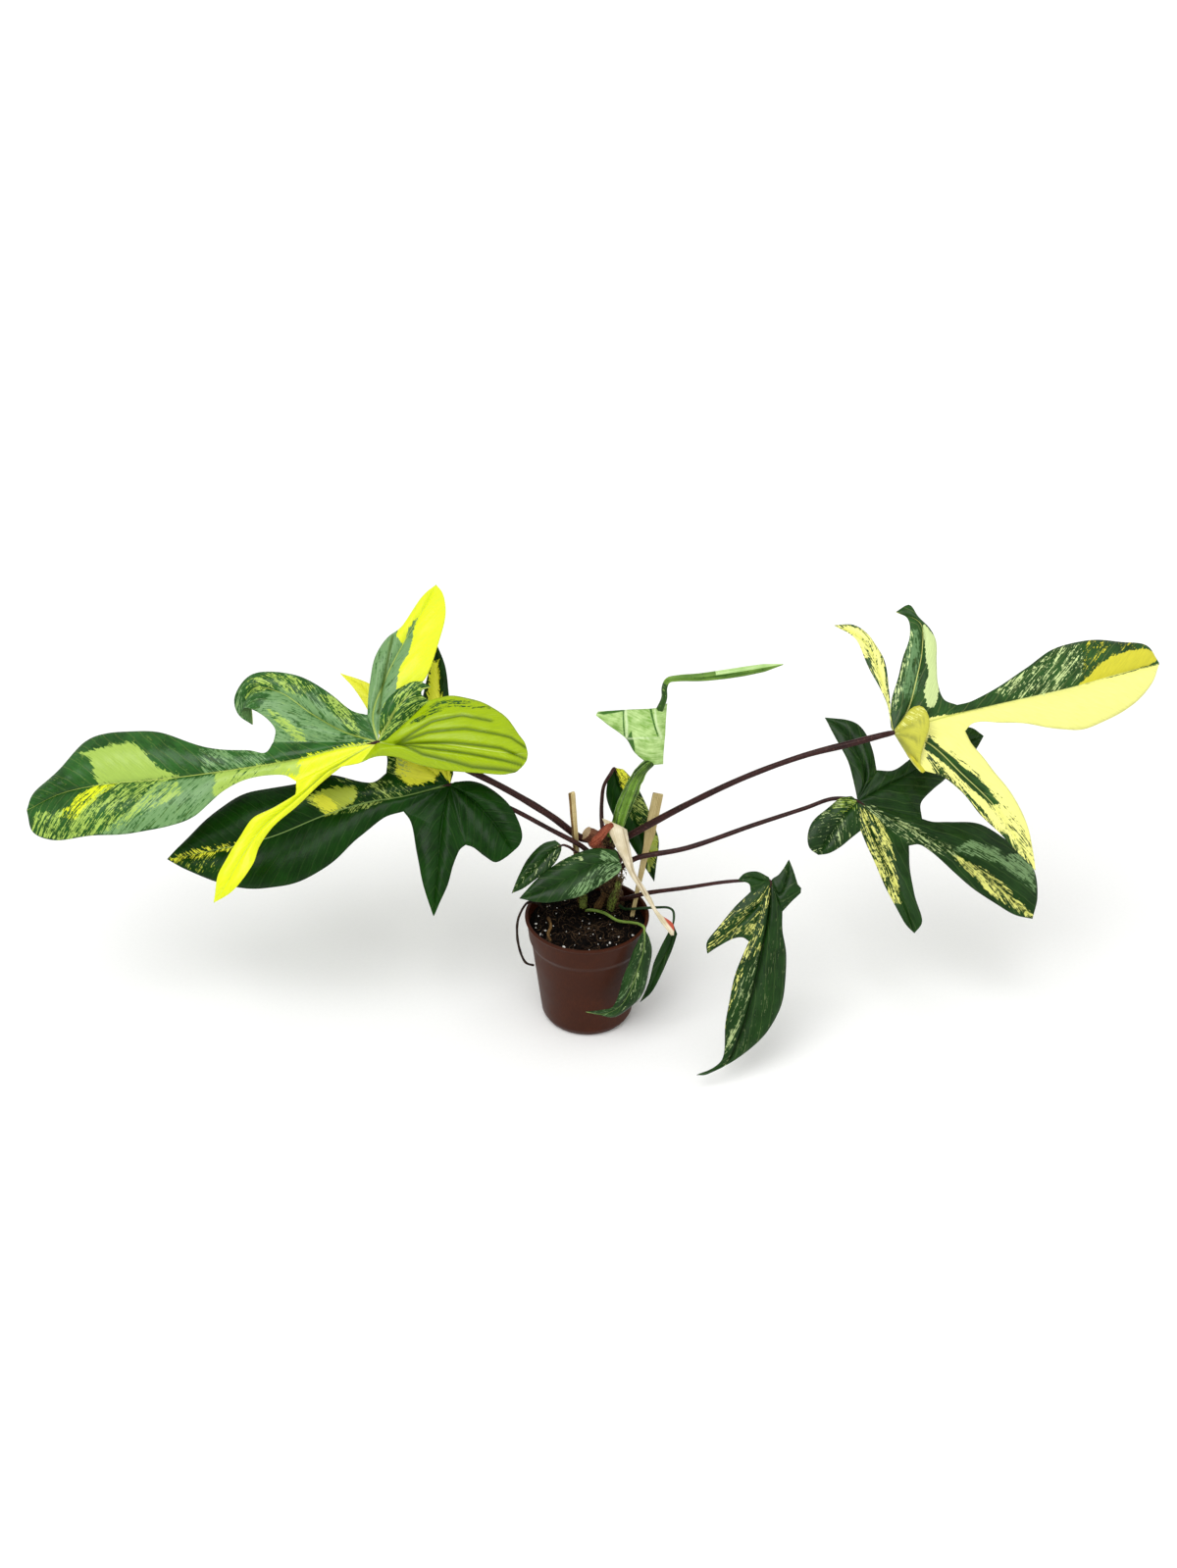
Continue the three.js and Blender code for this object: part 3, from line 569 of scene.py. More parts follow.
@dataclass(frozen=True)
class LeafSkin:
    """Waxy leaf skin over green tissue, with patches that lack their green.

    The wax gives a soft, broad shine; the veins run light through the green; and the pale
    patches follow the veins in ragged streaks, as they do where cells divided along them.
    Two of its colours are painted light: the greyish green is partly painted sheen, laid into
    the colour where the wax reflects, and the furrow colour is painted shade in the furrows.

    Attributes:
        name: the material's name.
        deep, mid, grey_sheen, lime, yellow, pale: its colours; the greyish green is partly
        lighter tissue and partly painted sheen, the wax's reflection laid into the colour.
        vein: the colour of the veins.
        furrow_shade: painted shade, the darker colour laid in the furrows where shade falls.
        vein_gap: millimetres between side veins.
        vein_show: how strongly the side veins show.
        roughness: how dull the wax is.
        shine: how strongly it reflects.
    """

    name: str
    deep: str = "#0f2808"
    mid: str = "#1e4012"
    # Painted sheen, in part: a greyish green laid where the wax reflects.
    grey_sheen: str = "#7a9b68"
    lime: str = "#97b03c"
    yellow: str = "#d6d84c"
    pale: str = "#a3b96a"
    vein: str = "#85a25a"
    # Painted shade: the darker colour laid in the furrows.
    furrow_shade: str = "#0b1c06"
    vein_gap: float = 7.5
    vein_show: float = 0.12
    roughness: float = 0.3
    shine: float = 0.2

    def make(self, side: Side) -> Material:
        """Builds the material for one side of the leaf.

        Formula: a tone shows where its field stands above a threshold, a mix of streaks that
        run along the side veins (0.8 x 12 mm and 5 x 40 mm) and blotches of 3 mm.

        Args:
            side: which side it is for. The under side is paler and more matt.

        Returns:
            The material.
        """
        paint = Paint(f"{self.name}_{side.value}")
        add = paint.add
        vein, flat = (add("UVMap", uv_map=name) for name in ("vein", "flat"))
        streak, bundle, blotch, cloud = (
            add("TexNoise", {"Vector": add("Mapping", {"Vector": place, "Scale": scale}),
                             "Scale": 1.0, "Detail": detail, "Roughness": 0.58})
            for place, scale, detail in ((vein, per(0.8, 12), 3), (vein, per(5, 40), 2),
                                         (flat, per(3, 3), 3), (flat, per(30, 30), 3)))
        threshold = add("MapRange", {
            0: paint.total((blotch, 0.22), (bundle, 0.3), (streak, 0.48)), 1: 0.41, 2: 0.59})
        across = add("SeparateXYZ", {0: add("Mapping", {
            "Vector": vein, "Scale": per(self.vein_gap, 1)})})
        ridge = add("Math", {0: paint.total((cloud, 0.9), (across, 1.0)), 1: 0.5},
                    operation="PINGPONG")
        vein_line = add("MapRange", {0: ridge, 1: 0.0, 2: 0.06, 3: 1.0, 4: 0.0})
        fields = {name: add("SeparateXYZ", {
            0: add("Attribute", out=1, attribute_name=name)}).node.outputs
                  for name in ("tones_a", "tones_b", "rib")}
        green = paint.layered(
            self.deep, (paint.total((cloud, 0.5), (streak, 0.5)), 0.4, 0.6, 1.0, self.mid),
            (vein_line, 0.0, 1.0, self.vein_show, self.vein))
        shade = add("MapRange", {0: streak, 1: 0.35, 2: 0.7, 3: 0.0, 4: 0.2})
        colour = green
        # The first tone is painted sheen on most leaves: its greyish green fades in soft patches
        # where the wax reflects.
        for tone, hue in zip(Tone, (self.grey_sheen, self.lime, self.yellow, self.pale, None)):
            attribute, channel, edge = tone.value
            above = add("Math", {0: fields[attribute][channel], 1: threshold},
                        operation="SUBTRACT")
            mask = add("Math", {0: above, 1: edge, 2: 0.5}, operation="MULTIPLY_ADD",
                       use_clamp=True)
            tint = green
            if hue:
                tint = add("Mix", {0: shade, 6: srgb(hue), 7: colour}, 2, data_type="RGBA")
            colour = add("Mix", {0: mask, 6: colour, 7: tint}, 2, data_type="RGBA")
        colour = paint.layered(
            colour, (fields["rib"][0], 1.0, 0.5, 0.75, self.vein),
            # Painted shade in the furrows.
            (fields["tones_b"][2], 0.0, 1.0, 0.85, self.furrow_shade),
            (float(side is Side.UNDER), 0.0, 1.0, 0.22, UNDER_BLOOM))
        height = paint.total((vein_line, -0.5), (blotch, 1.0))
        dull = self.roughness + 0.2 * (side is Side.UNDER)
        rough = add("MapRange", {0: cloud, 1: 0.3, 2: 0.7, 3: dull - 0.05, 4: dull + 0.08})
        return paint.finish(colour, rough, height, 0.3, IOR=1.45,
                            Specular_IOR_Level=self.shine)


@dataclass(frozen=True)
class Streaked:
    """A plant surface streaked along its length: a stalk, sheath, root, bark or split cane.

    The streaks are its fibres or veins, and the flecks are pores, scars or scale.

    Attributes:
        name: the material's name.
        low, high: the two colours that the streaks run between.
        fleck: the colour of the small marks.
        streak: (length, width) of a streak in millimetres.
        fleck_size: millimetres from fleck to fleck.
        fleck_cover: the share of the surface that flecks take.
        roughness: how dull it is.
        bump: the streaks' real height in millimetres.
    """

    name: str
    low: str
    high: str
    fleck: str
    streak: tuple[float, float] = (14.0, 1.2)
    fleck_size: float = 1.6
    fleck_cover: float = 0.2
    roughness: float = 0.5
    bump: float = 0.15

    def make(self) -> Material:
        """Builds and returns the material."""
        paint = Paint(self.name)
        add = paint.add
        room = add("TexCoord", out=3)
        streaks, specks, cloud = (
            add("TexNoise", {"Vector": add("Mapping", {"Vector": place, "Scale": scale}),
                             "Scale": 1.0, "Detail": 3.0, "Roughness": 0.58})
            for place, scale in ((add("UVMap", uv_map="flat"), per(*self.streak)),
                                 (room, cubes(self.fleck_size)), (room, cubes(18))))
        edge = 0.66 - 0.3 * self.fleck_cover
        colour = paint.layered(
            self.low, (paint.total((cloud, 0.35), (streaks, 0.65)), 0.38, 0.62, 1.0, self.high),
            (specks, edge, edge + 0.06, 0.8, self.fleck))
        height = paint.total((specks, 0.4), (streaks, 1.0))
        rough = add("MapRange", {0: streaks, 1: 0.35, 2: 0.65, 3: self.roughness + 0.06,
                                 4: self.roughness - 0.06})
        return paint.finish(colour, rough, height, self.bump, IOR=1.45,
                            Specular_IOR_Level=0.2)


# ---- leaves


@dataclass(frozen=True)
class Patch:
    """A patch of one tone: tissue of its colour, or, in the greyish green tone, mostly painted
    sheen.

    Attributes:
        tone: its tone.
        lobes: the lobes that it colours.
        outline: its corners (along, across) on the flat leaf, or nothing for whole lobes.
        cover: the share of the patch that really takes the tone, or 5 for all of it.
        ragged: how far its edge wanders, in millimetres.
    """

    tone: Tone
    lobes: str
    outline: Points = ""
    cover: float = 5.0
    ragged: float = 5.0

    def cover_at(self, points: Array) -> Array:
        """Works out how much of the leaf the tone covers.

        Formula: 1/2 + depth / ragged inside the outline, and never more than cover.

        Args:
            points: (along, across) on the flat leaf.

        Returns:
            The tone's field at each point.
        """
        if not self.outline:
            return np.full(points.shape[:-1], self.cover)
        depth = signed_depth(as_points(self.outline, 2), points)
        return np.minimum(0.5 + depth / self.ragged, self.cover)


@dataclass(frozen=True)
class Lobe:
    """One lobe, drawn as (along, across, lift) in millimetres on the flat leaf.

    Attributes:
        name: what patches call it.
        vein_angle: degrees between the main vein and the side veins.
        tip, spine: its tip and the line of its main vein.
        right, left: its free edges, seen from the junction outward.
        furrows: lines (along, across) where the lobe is pleated.
        furrow_depth: the pleats' depth in millimetres.
        wave: how far the margin waves, in millimetres.
        light_rib: whether the main vein shows light.
    """

    name: str
    vein_angle: float
    tip: Points
    spine: Points
    right: Points
    left: Points
    furrows: Sequence[Points] = ()
    furrow_depth: float = 1.4
    wave: float = 0.8
    light_rib: bool = True


@dataclass
class Stalk:
    """The stalk of a leaf.

    Attributes:
        points, radii: its line, and its radii spread evenly along it, in millimetres.
        skin, slot: its finish and its material slot.
    """

    points: Points
    radii: Sequence[float]
    skin: Streaked
    slot: str = "petiole"


@dataclass(frozen=True)
class Sheet:
    """The drooping sheet on which a blade lies.

    Attributes:
        junction: where the blade meets its stalk, in millimetres.
        azimuth, elevation: the way that its face looks, in degrees.
        heading: how far the midrib is turned anticlockwise on the face, in degrees.
        droop: its fall 100 mm out along the midrib, and 100 mm back or to a side.
    """

    junction: Sequence[float]
    azimuth: float
    elevation: float
    heading: float
    droop: Sequence[float]

    def axes(self) -> tuple[Array, Array, Array]:
        """Returns the ways that the midrib runs, its left and the face, as unit vectors."""
        az, el, heading = (math.radians(a) for a in (self.azimuth, self.elevation, self.heading))
        face = np.array([math.sin(az) * math.cos(el), -math.cos(az) * math.cos(el), math.sin(el)])
        level = np.array([math.cos(az), math.sin(az), 0.0])
        along = level * math.cos(heading) + np.cross(face, level) * math.sin(heading)
        return along, np.cross(face, along), face

    def place(self, flat: Array) -> Array:
        """Lays flat points on the sheet.

        Formula: junction + along + across + (lift - fall) face, where the sheet falls with the
        square of the way out along the midrib, back behind the junction and to each side.

        Args:
            flat: points (along, across, lift) in millimetres.

        Returns:
            Where they lie in space, in millimetres.
        """
        along, across, face = self.axes()
        x, y, z = np.moveaxis(flat, -1, 0)
        fall = (self.droop[0] * (np.maximum(x, 0) / 100) ** 2
                + self.droop[1] * ((np.minimum(x, 0) / 100) ** 2 + (y / 100) ** 2))
        return (np.array(self.junction, float) + x[..., None] * along + y[..., None] * across
                + (z - fall)[..., None] * face)


@dataclass
class Leaf:
    """A lobed blade on a drooping sheet, and the stalk that carries it.

    Neighbouring lobes share a seam from the junction to the notch between them.

    Attributes:
        name, slot: the blade's name in the CAD, after blade_, and its material slot.
        sheet, skin, stalk: what it lies on, its finish and its stalk.
        notches, lobes: its lobes, with the seam before the first and after each of them.
        patches: where a tone covers it.
        flecks: the pale tone's field outside its patches: the nearer 0, the more flecks.
        thickness, row_step: its thickness and the step between its rows, in millimetres.
        seam_steps, columns: rows along a seam, and columns across half a lobe.
    """

    name: str
    sheet: Sheet
    skin: LeafSkin
    slot: str
    stalk: Stalk
    notches: Sequence[Points]
    lobes: Sequence[Lobe]
    patches: Sequence[Patch] = ()
    flecks: float = -0.1
    thickness: float = 0.7
    row_step: float = 2.0
    seam_steps: int = 26
    columns: int = 13

    def edge(self, seam: Points, free: Points, tip: Points, steps: int) -> Array:
        """Draws a lobe's edge: evenly along its seam, then evenly out along its free part.

        Args:
            seam: the seam, from near the junction out to the notch.
            free: the free part, from the notch towards the tip.
            tip: the lobe's tip.
            steps: how many steps the free part has.

        Returns:
            The edge, row by row.
        """
        start = np.vstack([np.zeros(3), as_points(seam)])
        outer = np.vstack([start[-1:], as_points(free), as_points(tip)])
        return np.vstack([through(start, self.seam_steps), through(outer, steps)[1:]])

    def lobe_grids(self, number: int) -> list[Grid]:
        """Builds a lobe's two halves.

        Formula: a point is spine + t (edge - spine), arched as each half of the lobe is, with t
        from 0 on the main vein to 1 on the edge. A groove runs along the main vein, low ridges
        follow the side veins, pleats follow the furrows, and the free margin waves.

        Args:
            number: which lobe.

        Returns:
            The right and the left half.
        """
        lobe = self.lobes[number]
        tip = as_points(lobe.tip)[0]
        steps = max(10, round(np.linalg.norm(tip) / self.row_step))
        right = self.edge(self.notches[number], lobe.right, lobe.tip, steps)
        left = self.edge(self.notches[number + 1], lobe.left, lobe.tip, steps)
        spine_line = np.vstack([np.zeros(3), as_points(lobe.spine), tip])
        fine = through(spine_line, 400)
        waist = (right[self.seam_steps] + left[self.seam_steps]) / 2
        waist_share = np.linalg.norm(fine - waist, axis=1).argmin() / 400
        rows = np.arange(self.seam_steps + steps + 1)
        share = np.where(rows <= self.seam_steps, waist_share * rows / self.seam_steps,
                         waist_share + (1 - waist_share) * (rows - self.seam_steps) / steps)
        spine = np.stack([np.interp(share, np.linspace(0, 1, 401), fine[:, k])
                          for k in range(3)], 1)
        walk = share * arc_lengths(fine)[-1]
        free = ramp(rows, self.seam_steps, self.seam_steps + min(14, steps / 2))
        width = np.linalg.norm(right - left, axis=1)
        t = (np.arange(self.columns + 1) / self.columns) ** 1.35  # closest by the main vein
        return [self.half(lobe, spine, edge, walk, free, width, t, sign)
                for edge, sign in ((right, -1), (left, 1))]

    def half(self, lobe: Lobe, spine: Array, edge: Array, walk: Array,
             free: Array, width: Array, t: Array, sign: int) -> Grid:
        """Builds one half of a lobe, as lobe_grids describes.

        Args:
            lobe: the lobe.
            spine: the main vein, row by row.
            edge: the half's edge, row by row.
            walk: how far along the main vein each row lies.
            free: 0 in rows that end on a seam, rising to 1 in rows with a free edge.
            width: the whole lobe's width in each row.
            t: the columns' shares of the way to the edge.
            sign: 1 for the left half and -1 for the right.

        Returns:
            The half, its face upward.
        """
        flat = spine[:, None] * (1 - t)[None, :, None] + edge[:, None] * t[None, :, None]
        along = unit(np.gradient(spine[:, :2], axis=0))
        delta = flat[..., :2] - spine[:, None, :2]
        forward = (delta * along[:, None]).sum(-1) + walk[:, None]
        away = np.abs(delta[..., 0] * along[:, None, 1] - delta[..., 1] * along[:, None, 0])
        angle = math.radians(lobe.vein_angle)
        sine, cosine = math.sin(angle), math.cos(angle)
        vein = np.stack([forward * sine - away * cosine + MAP_SHIFT * (sign > 0),
                         forward * cosine + away * sine], -1)
        free, t = free[:, None], t[None, :]
        inside = 1 - (1 - free) * t**4
        tip_fade = ramp(walk[-1] - walk, 0, TIP_REACH)[:, None]
        arch = free * np.sin(math.pi * t) + (1 - free) * 6.75 * t * (1 - t) ** 2
        lift = CAMBER * width[:, None] * arch
        lift = lift - GROOVE_DEPTH * np.exp(-((away / GROOVE_WIDTH) ** 2)) * tip_fade
        lift = lift - RIDGE * np.cos(2 * math.pi * vein[..., 0] / self.skin.vein_gap) * (
            tip_fade * ramp(width, 8, 30)[:, None] * np.sin(math.pi * t) * inside)
        letters = sum(map(ord, self.name + lobe.name))
        draw = np.random.default_rng([len(self.name) * 7 + letters, sign + 1])
        phase, length = draw.uniform(0, 2 * math.pi), draw.uniform(30, 48)
        lift = lift + lobe.wave * t**2.2 * free * tip_fade * np.sin(
            2 * math.pi * walk[:, None] / length + phase)
        furrow = np.zeros_like(away)
        for line in lobe.furrows:
            furrow = np.maximum(furrow, np.exp(-(line_distance(
                as_points(line, 2), flat[..., :2]) / FURROW_WIDTH) ** 2))
        furrow = furrow * inside
        flat[..., 2] += lift - lobe.furrow_depth * furrow
        tones = {tone: np.full(away.shape, NO_TONE) for tone in Tone}
        tones[PALE] += self.flecks - NO_TONE
        for patch in self.patches:
            if lobe.name in patch.lobes.split():
                tones[patch.tone] = np.maximum(tones[patch.tone], patch.cover_at(flat[..., :2]))
        tones = {tone: np.clip(values, NO_TONE, FULL_TONE) for tone, values in tones.items()}
        # The furrow channel doubles as painted shade: the finish darkens the furrows by it.
        extras = {
            "tones_a": np.stack([tones[GREY], tones[LIME], tones[YELLOW]], -1),
            "tones_b": np.stack([tones[PALE], tones[DEEP], furrow], -1),
            "rib": np.stack([away / (0.35 + 0.9 * (1 - walk / walk[-1]))[:, None]
                             + (0 if lobe.light_rib else 9)] * 3, -1),
        }
        grid = Grid(self.sheet.place(flat), flat[..., :2], vein, extras)
        if sign < 0:
            grid = Grid(grid.points[:, ::-1], grid.flat[:, ::-1], vein[:, ::-1],
                        {key: values[:, ::-1] for key, values in extras.items()})
        return grid

    def make_blade(self, upper: Material, under: Material) -> None:
        """Builds the blade, gives it its thickness and sets it in place.

        Args:
            upper: the material of its upper side and its rim.
            under: the material of its under side.
        """
        grids = [grid for number in range(len(self.lobes)) for grid in self.lobe_grids(number)]
        piece = build_piece(f"blade_{self.name}_leaf", grids, [upper, under])
        thicken(piece, self.thickness, 1)
        settle(piece, self.slot, f"blade_{self.name}")

    def make_stalk(self, material: Material) -> None:
        """Builds the stalk and sets it in place.

        Formula: a slightly flattened tube that runs on 9 mm under the midrib as it thins out.

        Args:
            material: its material.
        """
        along, _, face = self.sheet.axes()
        line, junction = as_points(self.stalk.points), np.array(self.sheet.junction, float)
        side = math.copysign(1.0, float((line[0] - junction) @ face))
        ends = [junction + side * 0.6 * face, junction + 9 * along + side * 0.7 * face]
        path = through(np.vstack([line, *ends]), STALK_STEPS)
        walk, radii = arc_lengths(path), spread(self.stalk.radii, STALK_STEPS)
        radii = radii * (1 - 0.7 * ramp(walk, walk[-1] - 15, walk[-1]))
        radii = radii * (1 + 0.03 * Rumple(3, 22).at(path))
        path, radii = rounded(path, radii, 0.8)
        piece = build_piece(f"petiole_{self.name}_stalk", [tube(path, radii, 20, 0.93)],
                            [material])
        settle(piece, self.stalk.slot, f"petiole_{self.name}")


# ---- stems, sheaths and roots


@dataclass
class Limb:
    """A stem, old sheath or root along a smooth line, in millimetres.

    Attributes:
        name, node, slot: the piece, the CAD node it stands for and its material slot.
        points: its line.
        radii: its radii, spread evenly along it.
        flatness: its section's height over its width.
        ribs, rib_depth: ribs round it, and their height as a share of the radius.
        rumple: how uneven it is, as a share of the radius.
        ragged: how far its far end is torn, in millimetres, or 0 for a domed end.
        cut: True for a far end that was cut off square.
        sides: how many faces go round it.
        reference: the direction that its section's width stays square to.
    """

    name: str
    node: str
    slot: str
    points: Points
    radii: Sequence[float]
    flatness: float = 1.0
    ribs: int = 0
    rib_depth: float = 0.0
    rumple: float = 0.05
    ragged: float = 0.0
    cut: bool = False
    sides: int = 24
    reference: Sequence[float] = (0, 0, 1)

    def grids(self) -> list[Grid]:
        """Builds the limb, and the face of its cut end if it has one.

        Formula: a tube whose radius is uneven in space. A torn end is the same tube run back
        down inside itself as a thin wall, its rim pulled along the line by an uneven amount.

        Returns:
            One grid, or two where the far end is cut.
        """
        line = as_points(self.points)
        steps = max(24, round(arc_lengths(line)[-1] / 1.5))
        path, radii = through(line, steps), spread(self.radii, steps)
        if self.ragged:
            path, radii = self.hollowed(path, radii)
        else:
            path, radii = rounded(path, radii, 0.06 if self.cut else 0.7)
        grid = tube(path, radii, self.sides, self.flatness, self.ribs, self.rib_depth,
                    self.reference)
        swell(grid, path, self.rumple * Rumple(len(self.name), 9).at(grid.points))
        if self.ragged:
            self.tear(grid, path, steps + 1)
        if not self.cut:
            return [grid]
        return [Grid(grid.points[part], grid.flat[part], material=number) for part, number in (
            (np.s_[:-DOME_RINGS], 0), (np.s_[-DOME_RINGS - 1:], 1))]

    def hollowed(self, path: Array, radii: Array) -> tuple[Array, Array]:
        """Runs a limb back down inside itself for a quarter of its length.

        Args:
            path: its line.
            radii: its radii.

        Returns:
            The longer line and its radii.
        """
        depth = max(3, len(path) // 4)
        inner = path[::-1][:depth]
        return (np.vstack([path[:1], path, inner, inner[-1:]]),
                np.concatenate([[0], radii, 0.78 * radii[::-1][:depth], [0]]))

    def tear(self, grid: Grid, path: Array, outer: int) -> None:
        """Pulls a hollow limb's rim along its line, unevenly round it.

        Args:
            grid: the limb, which is changed.
            path: its line.
            outer: how many rows its outer wall has.
        """
        height = np.concatenate([np.linspace(0, 1, outer) ** 6,
                                 np.linspace(1, 0, len(path) - outer) ** 2])
        angle = np.linspace(0, 2 * math.pi, self.sides + 1)
        pull = np.sin(3 * angle + len(self.name)) + 0.6 * np.sin(7 * angle + 1)
        along = unit(path[outer - 1] - path[outer - 3])
        grid.points += (self.ragged * 0.5 * height[:, None] * pull[None])[..., None] * along
        grid.points[:, -1] = grid.points[:, 0]

    def make(self, *materials: Material) -> None:
        """Builds the piece with its materials and sets it in place."""
        settle(build_piece(self.name, self.grids(), materials), self.slot, self.node)


@dataclass
class Stem:
    """The short thick stem, ringed where old leaves stood, with tufts of dead root hairs.

    Attributes:
        points, radii: its line and its radii, spread evenly along it, in millimetres.
        ring_gap: millimetres between rings.
        tufts, hairs: where the tufts stand, and how many hairs each has.
    """

    points: Points = "24 30 62, 24 30 98, 19 29 125, 16 28 150, 19 28 172"
    radii: Sequence[float] = (7, 10, 9, 8, 7)
    ring_gap: float = 11.0
    tufts: Points = "27 21 124, 29 22 132, 25 20 117, 30 24 140"
    hairs: int = 50

    def make(self, bark: Material, hair: Material) -> None:
        """Builds the stem.

        Formula: r is swollen by an uneven field and by a narrow ring at each old leaf's place;
        a hair is a thin tube that leaves its tuft in a random direction and bends downward.

        Args:
            bark: the stem's material.
            hair: the root hairs' material.
        """
        path = through(as_points(self.points), 110)
        walk = arc_lengths(path)
        rings = np.cos(2 * math.pi * walk / self.ring_gap) ** 8
        radii = spread(self.radii, 110) * (1 + 0.09 * rings)
        path, radii = rounded(path, radii, 0.4)
        body = tube(path, radii, 40, reference=(0, 1, 0))
        swell(body, path, 0.07 * Rumple(5, 12).at(body.points)
              + 0.03 * Rumple(6, 3).at(body.points))
        draw = np.random.default_rng(17)
        grids = [body]
        for start in draw.permutation(np.tile(as_points(self.tufts), (self.hairs, 1))):
            start = start + draw.normal(0, 1.6, 3)
            way = unit(draw.normal(0, 1, 3) + (0.3, -1.1, -0.2))
            reach = draw.uniform(2, 5.5)
            line = start + np.linspace(0, reach, 6)[:, None] * way
            line[:, 2] -= np.linspace(0, 1, 6) ** 2 * draw.uniform(0, 4)
            thin = np.linspace(0.4, 0.15, 6)
            grids.append(tube(line, thin, 4, reference=(0.3, 0.2, 1), material=1))
        settle(build_piece("stem_ringed", grids, [bark, hair]), "stem", "stem")


# ---- new growth


@dataclass
class Strip:
    """A strip of thin tissue on a sheet: a spine, a right and a left edge.

    Attributes:
        name, node, slot: the piece, the CAD node it stands for and its material slot.
        sheet: what it lies on.
        spine, right, left: (along, across, lift) in millimetres.
        creases: (line, width) of sharp folds that stand up, in flat millimetres.
        areas: outlines of areas of the second tone.
        thickness, crumple: its thickness and its crumples' height, in millimetres.
        rows, columns: how finely it is divided, with the columns for each half.
    """

    name: str
    node: str
    slot: str
    sheet: Sheet
    spine: Points
    right: Points
    left: Points
    creases: Sequence[tuple[Points, float]] = ()
    areas: Sequence[Points] = ()
    thickness: float = 0.6
    crumple: float = 0.5
    rows: int = 90
    columns: int = 16

    def grids(self) -> list[Grid]:
        """Builds the strip.

        Formula: spine + t (edge - spine) with each half arched, plus low crumples and raised
        creases that fall off as a bell curve from their lines.

        Returns:
            One grid, with its marks for the finish.
        """
        spine, right, left = (through(as_points(line), self.rows)
                              for line in (self.spine, self.right, self.left))
        side = np.linspace(-1, 1, 2 * self.columns + 1)[None, :, None]
        edge = np.where(side < 0, right[:, None], left[:, None])
        flat = spine[:, None] + np.abs(side) * (edge - spine[:, None])
        width = np.linalg.norm(right - left, axis=1)[:, None]
        flat[..., 2] += CAMBER * width * np.sin(math.pi * np.abs(side[..., 0]))
        flat[..., 2] += self.crumple * Rumple(len(self.name), 14).at(flat)
        creases = np.zeros(flat.shape[:2])
        for line, breadth in self.creases:
            distance = line_distance(as_points(line, 2), flat[..., :2])
            creases = np.maximum(creases, np.exp(-((distance / breadth) ** 2)))
        flat[..., 2] += 0.5 * creases
        areas = np.full(flat.shape[:2], NO_TONE)
        for outline in self.areas:
            areas = np.maximum(areas, signed_depth(as_points(outline, 2), flat[..., :2]))
        around = side[..., 0] * width / 2
        vein = np.stack(np.broadcast_arrays(arc_lengths(spine)[:, None], around), -1)
        marks = np.stack([creases, np.minimum(areas, -NO_TONE), np.zeros_like(creases)], -1)
        return [Grid(self.sheet.place(flat), flat[..., :2], vein, {"marks": marks})]

    def make(self, material: Material) -> None:
        """Builds the piece, gives it its thickness and sets it in place.

        Args:
            material: its material.
        """
        piece = build_piece(self.name, self.grids(), [material])
        thicken(piece, self.thickness)
        settle(piece, self.slot, self.node)


@dataclass(frozen=True)
class MarkedSkin:
    """Thin tissue with a second tone in marked areas and light or dark creases.

    On the new leaf the dark areas by its folds are painted shade, and its light creases are
    painted highlights along the fold ridges.

    Attributes:
        name: the material's name.
        low, high: the two colours that clouds run between.
        second: the colour of the marked areas.
        crease: the colour of the creases.
        streak: (along, across) size of its streaks in millimetres.
        roughness: how dull it is.
    """

    name: str
    low: str
    high: str
    second: str
    crease: str
    streak: tuple[float, float] = (12.0, 1.6)
    roughness: float = 0.4

    def make(self) -> Material:
        """Builds and returns the material."""
        paint = Paint(self.name)
        add = paint.add
        cloud = add("TexNoise", {"Vector": add("Mapping", {
            "Vector": add("TexCoord", out=3), "Scale": cubes(9)}), "Scale": 1.0, "Detail": 2.0})
        streaks = add("TexNoise", {"Vector": add("Mapping", {
            "Vector": add("UVMap", uv_map="vein"), "Scale": per(*self.streak)}),
            "Scale": 1.0, "Detail": 3.0, "Roughness": 0.6})
        marks = add("SeparateXYZ", {
            0: add("Attribute", out=1, attribute_name="marks")}).node.outputs
        colour = paint.layered(
            self.low, (paint.total((cloud, 0.5), (streaks, 0.5)), 0.38, 0.62, 1.0, self.high),
            (paint.total((streaks, 1.5), (marks[1], 1.0)), 0.5, 1.1, 1.0, self.second),
            (marks[0], 0.0, 1.0, 0.75, self.crease))
        height = paint.total((cloud, 0.5), (streaks, 1.0))
        return paint.finish(colour, self.roughness, height, 0.25, IOR=1.45,
                            Specular_IOR_Level=0.3)


# ---- stakes


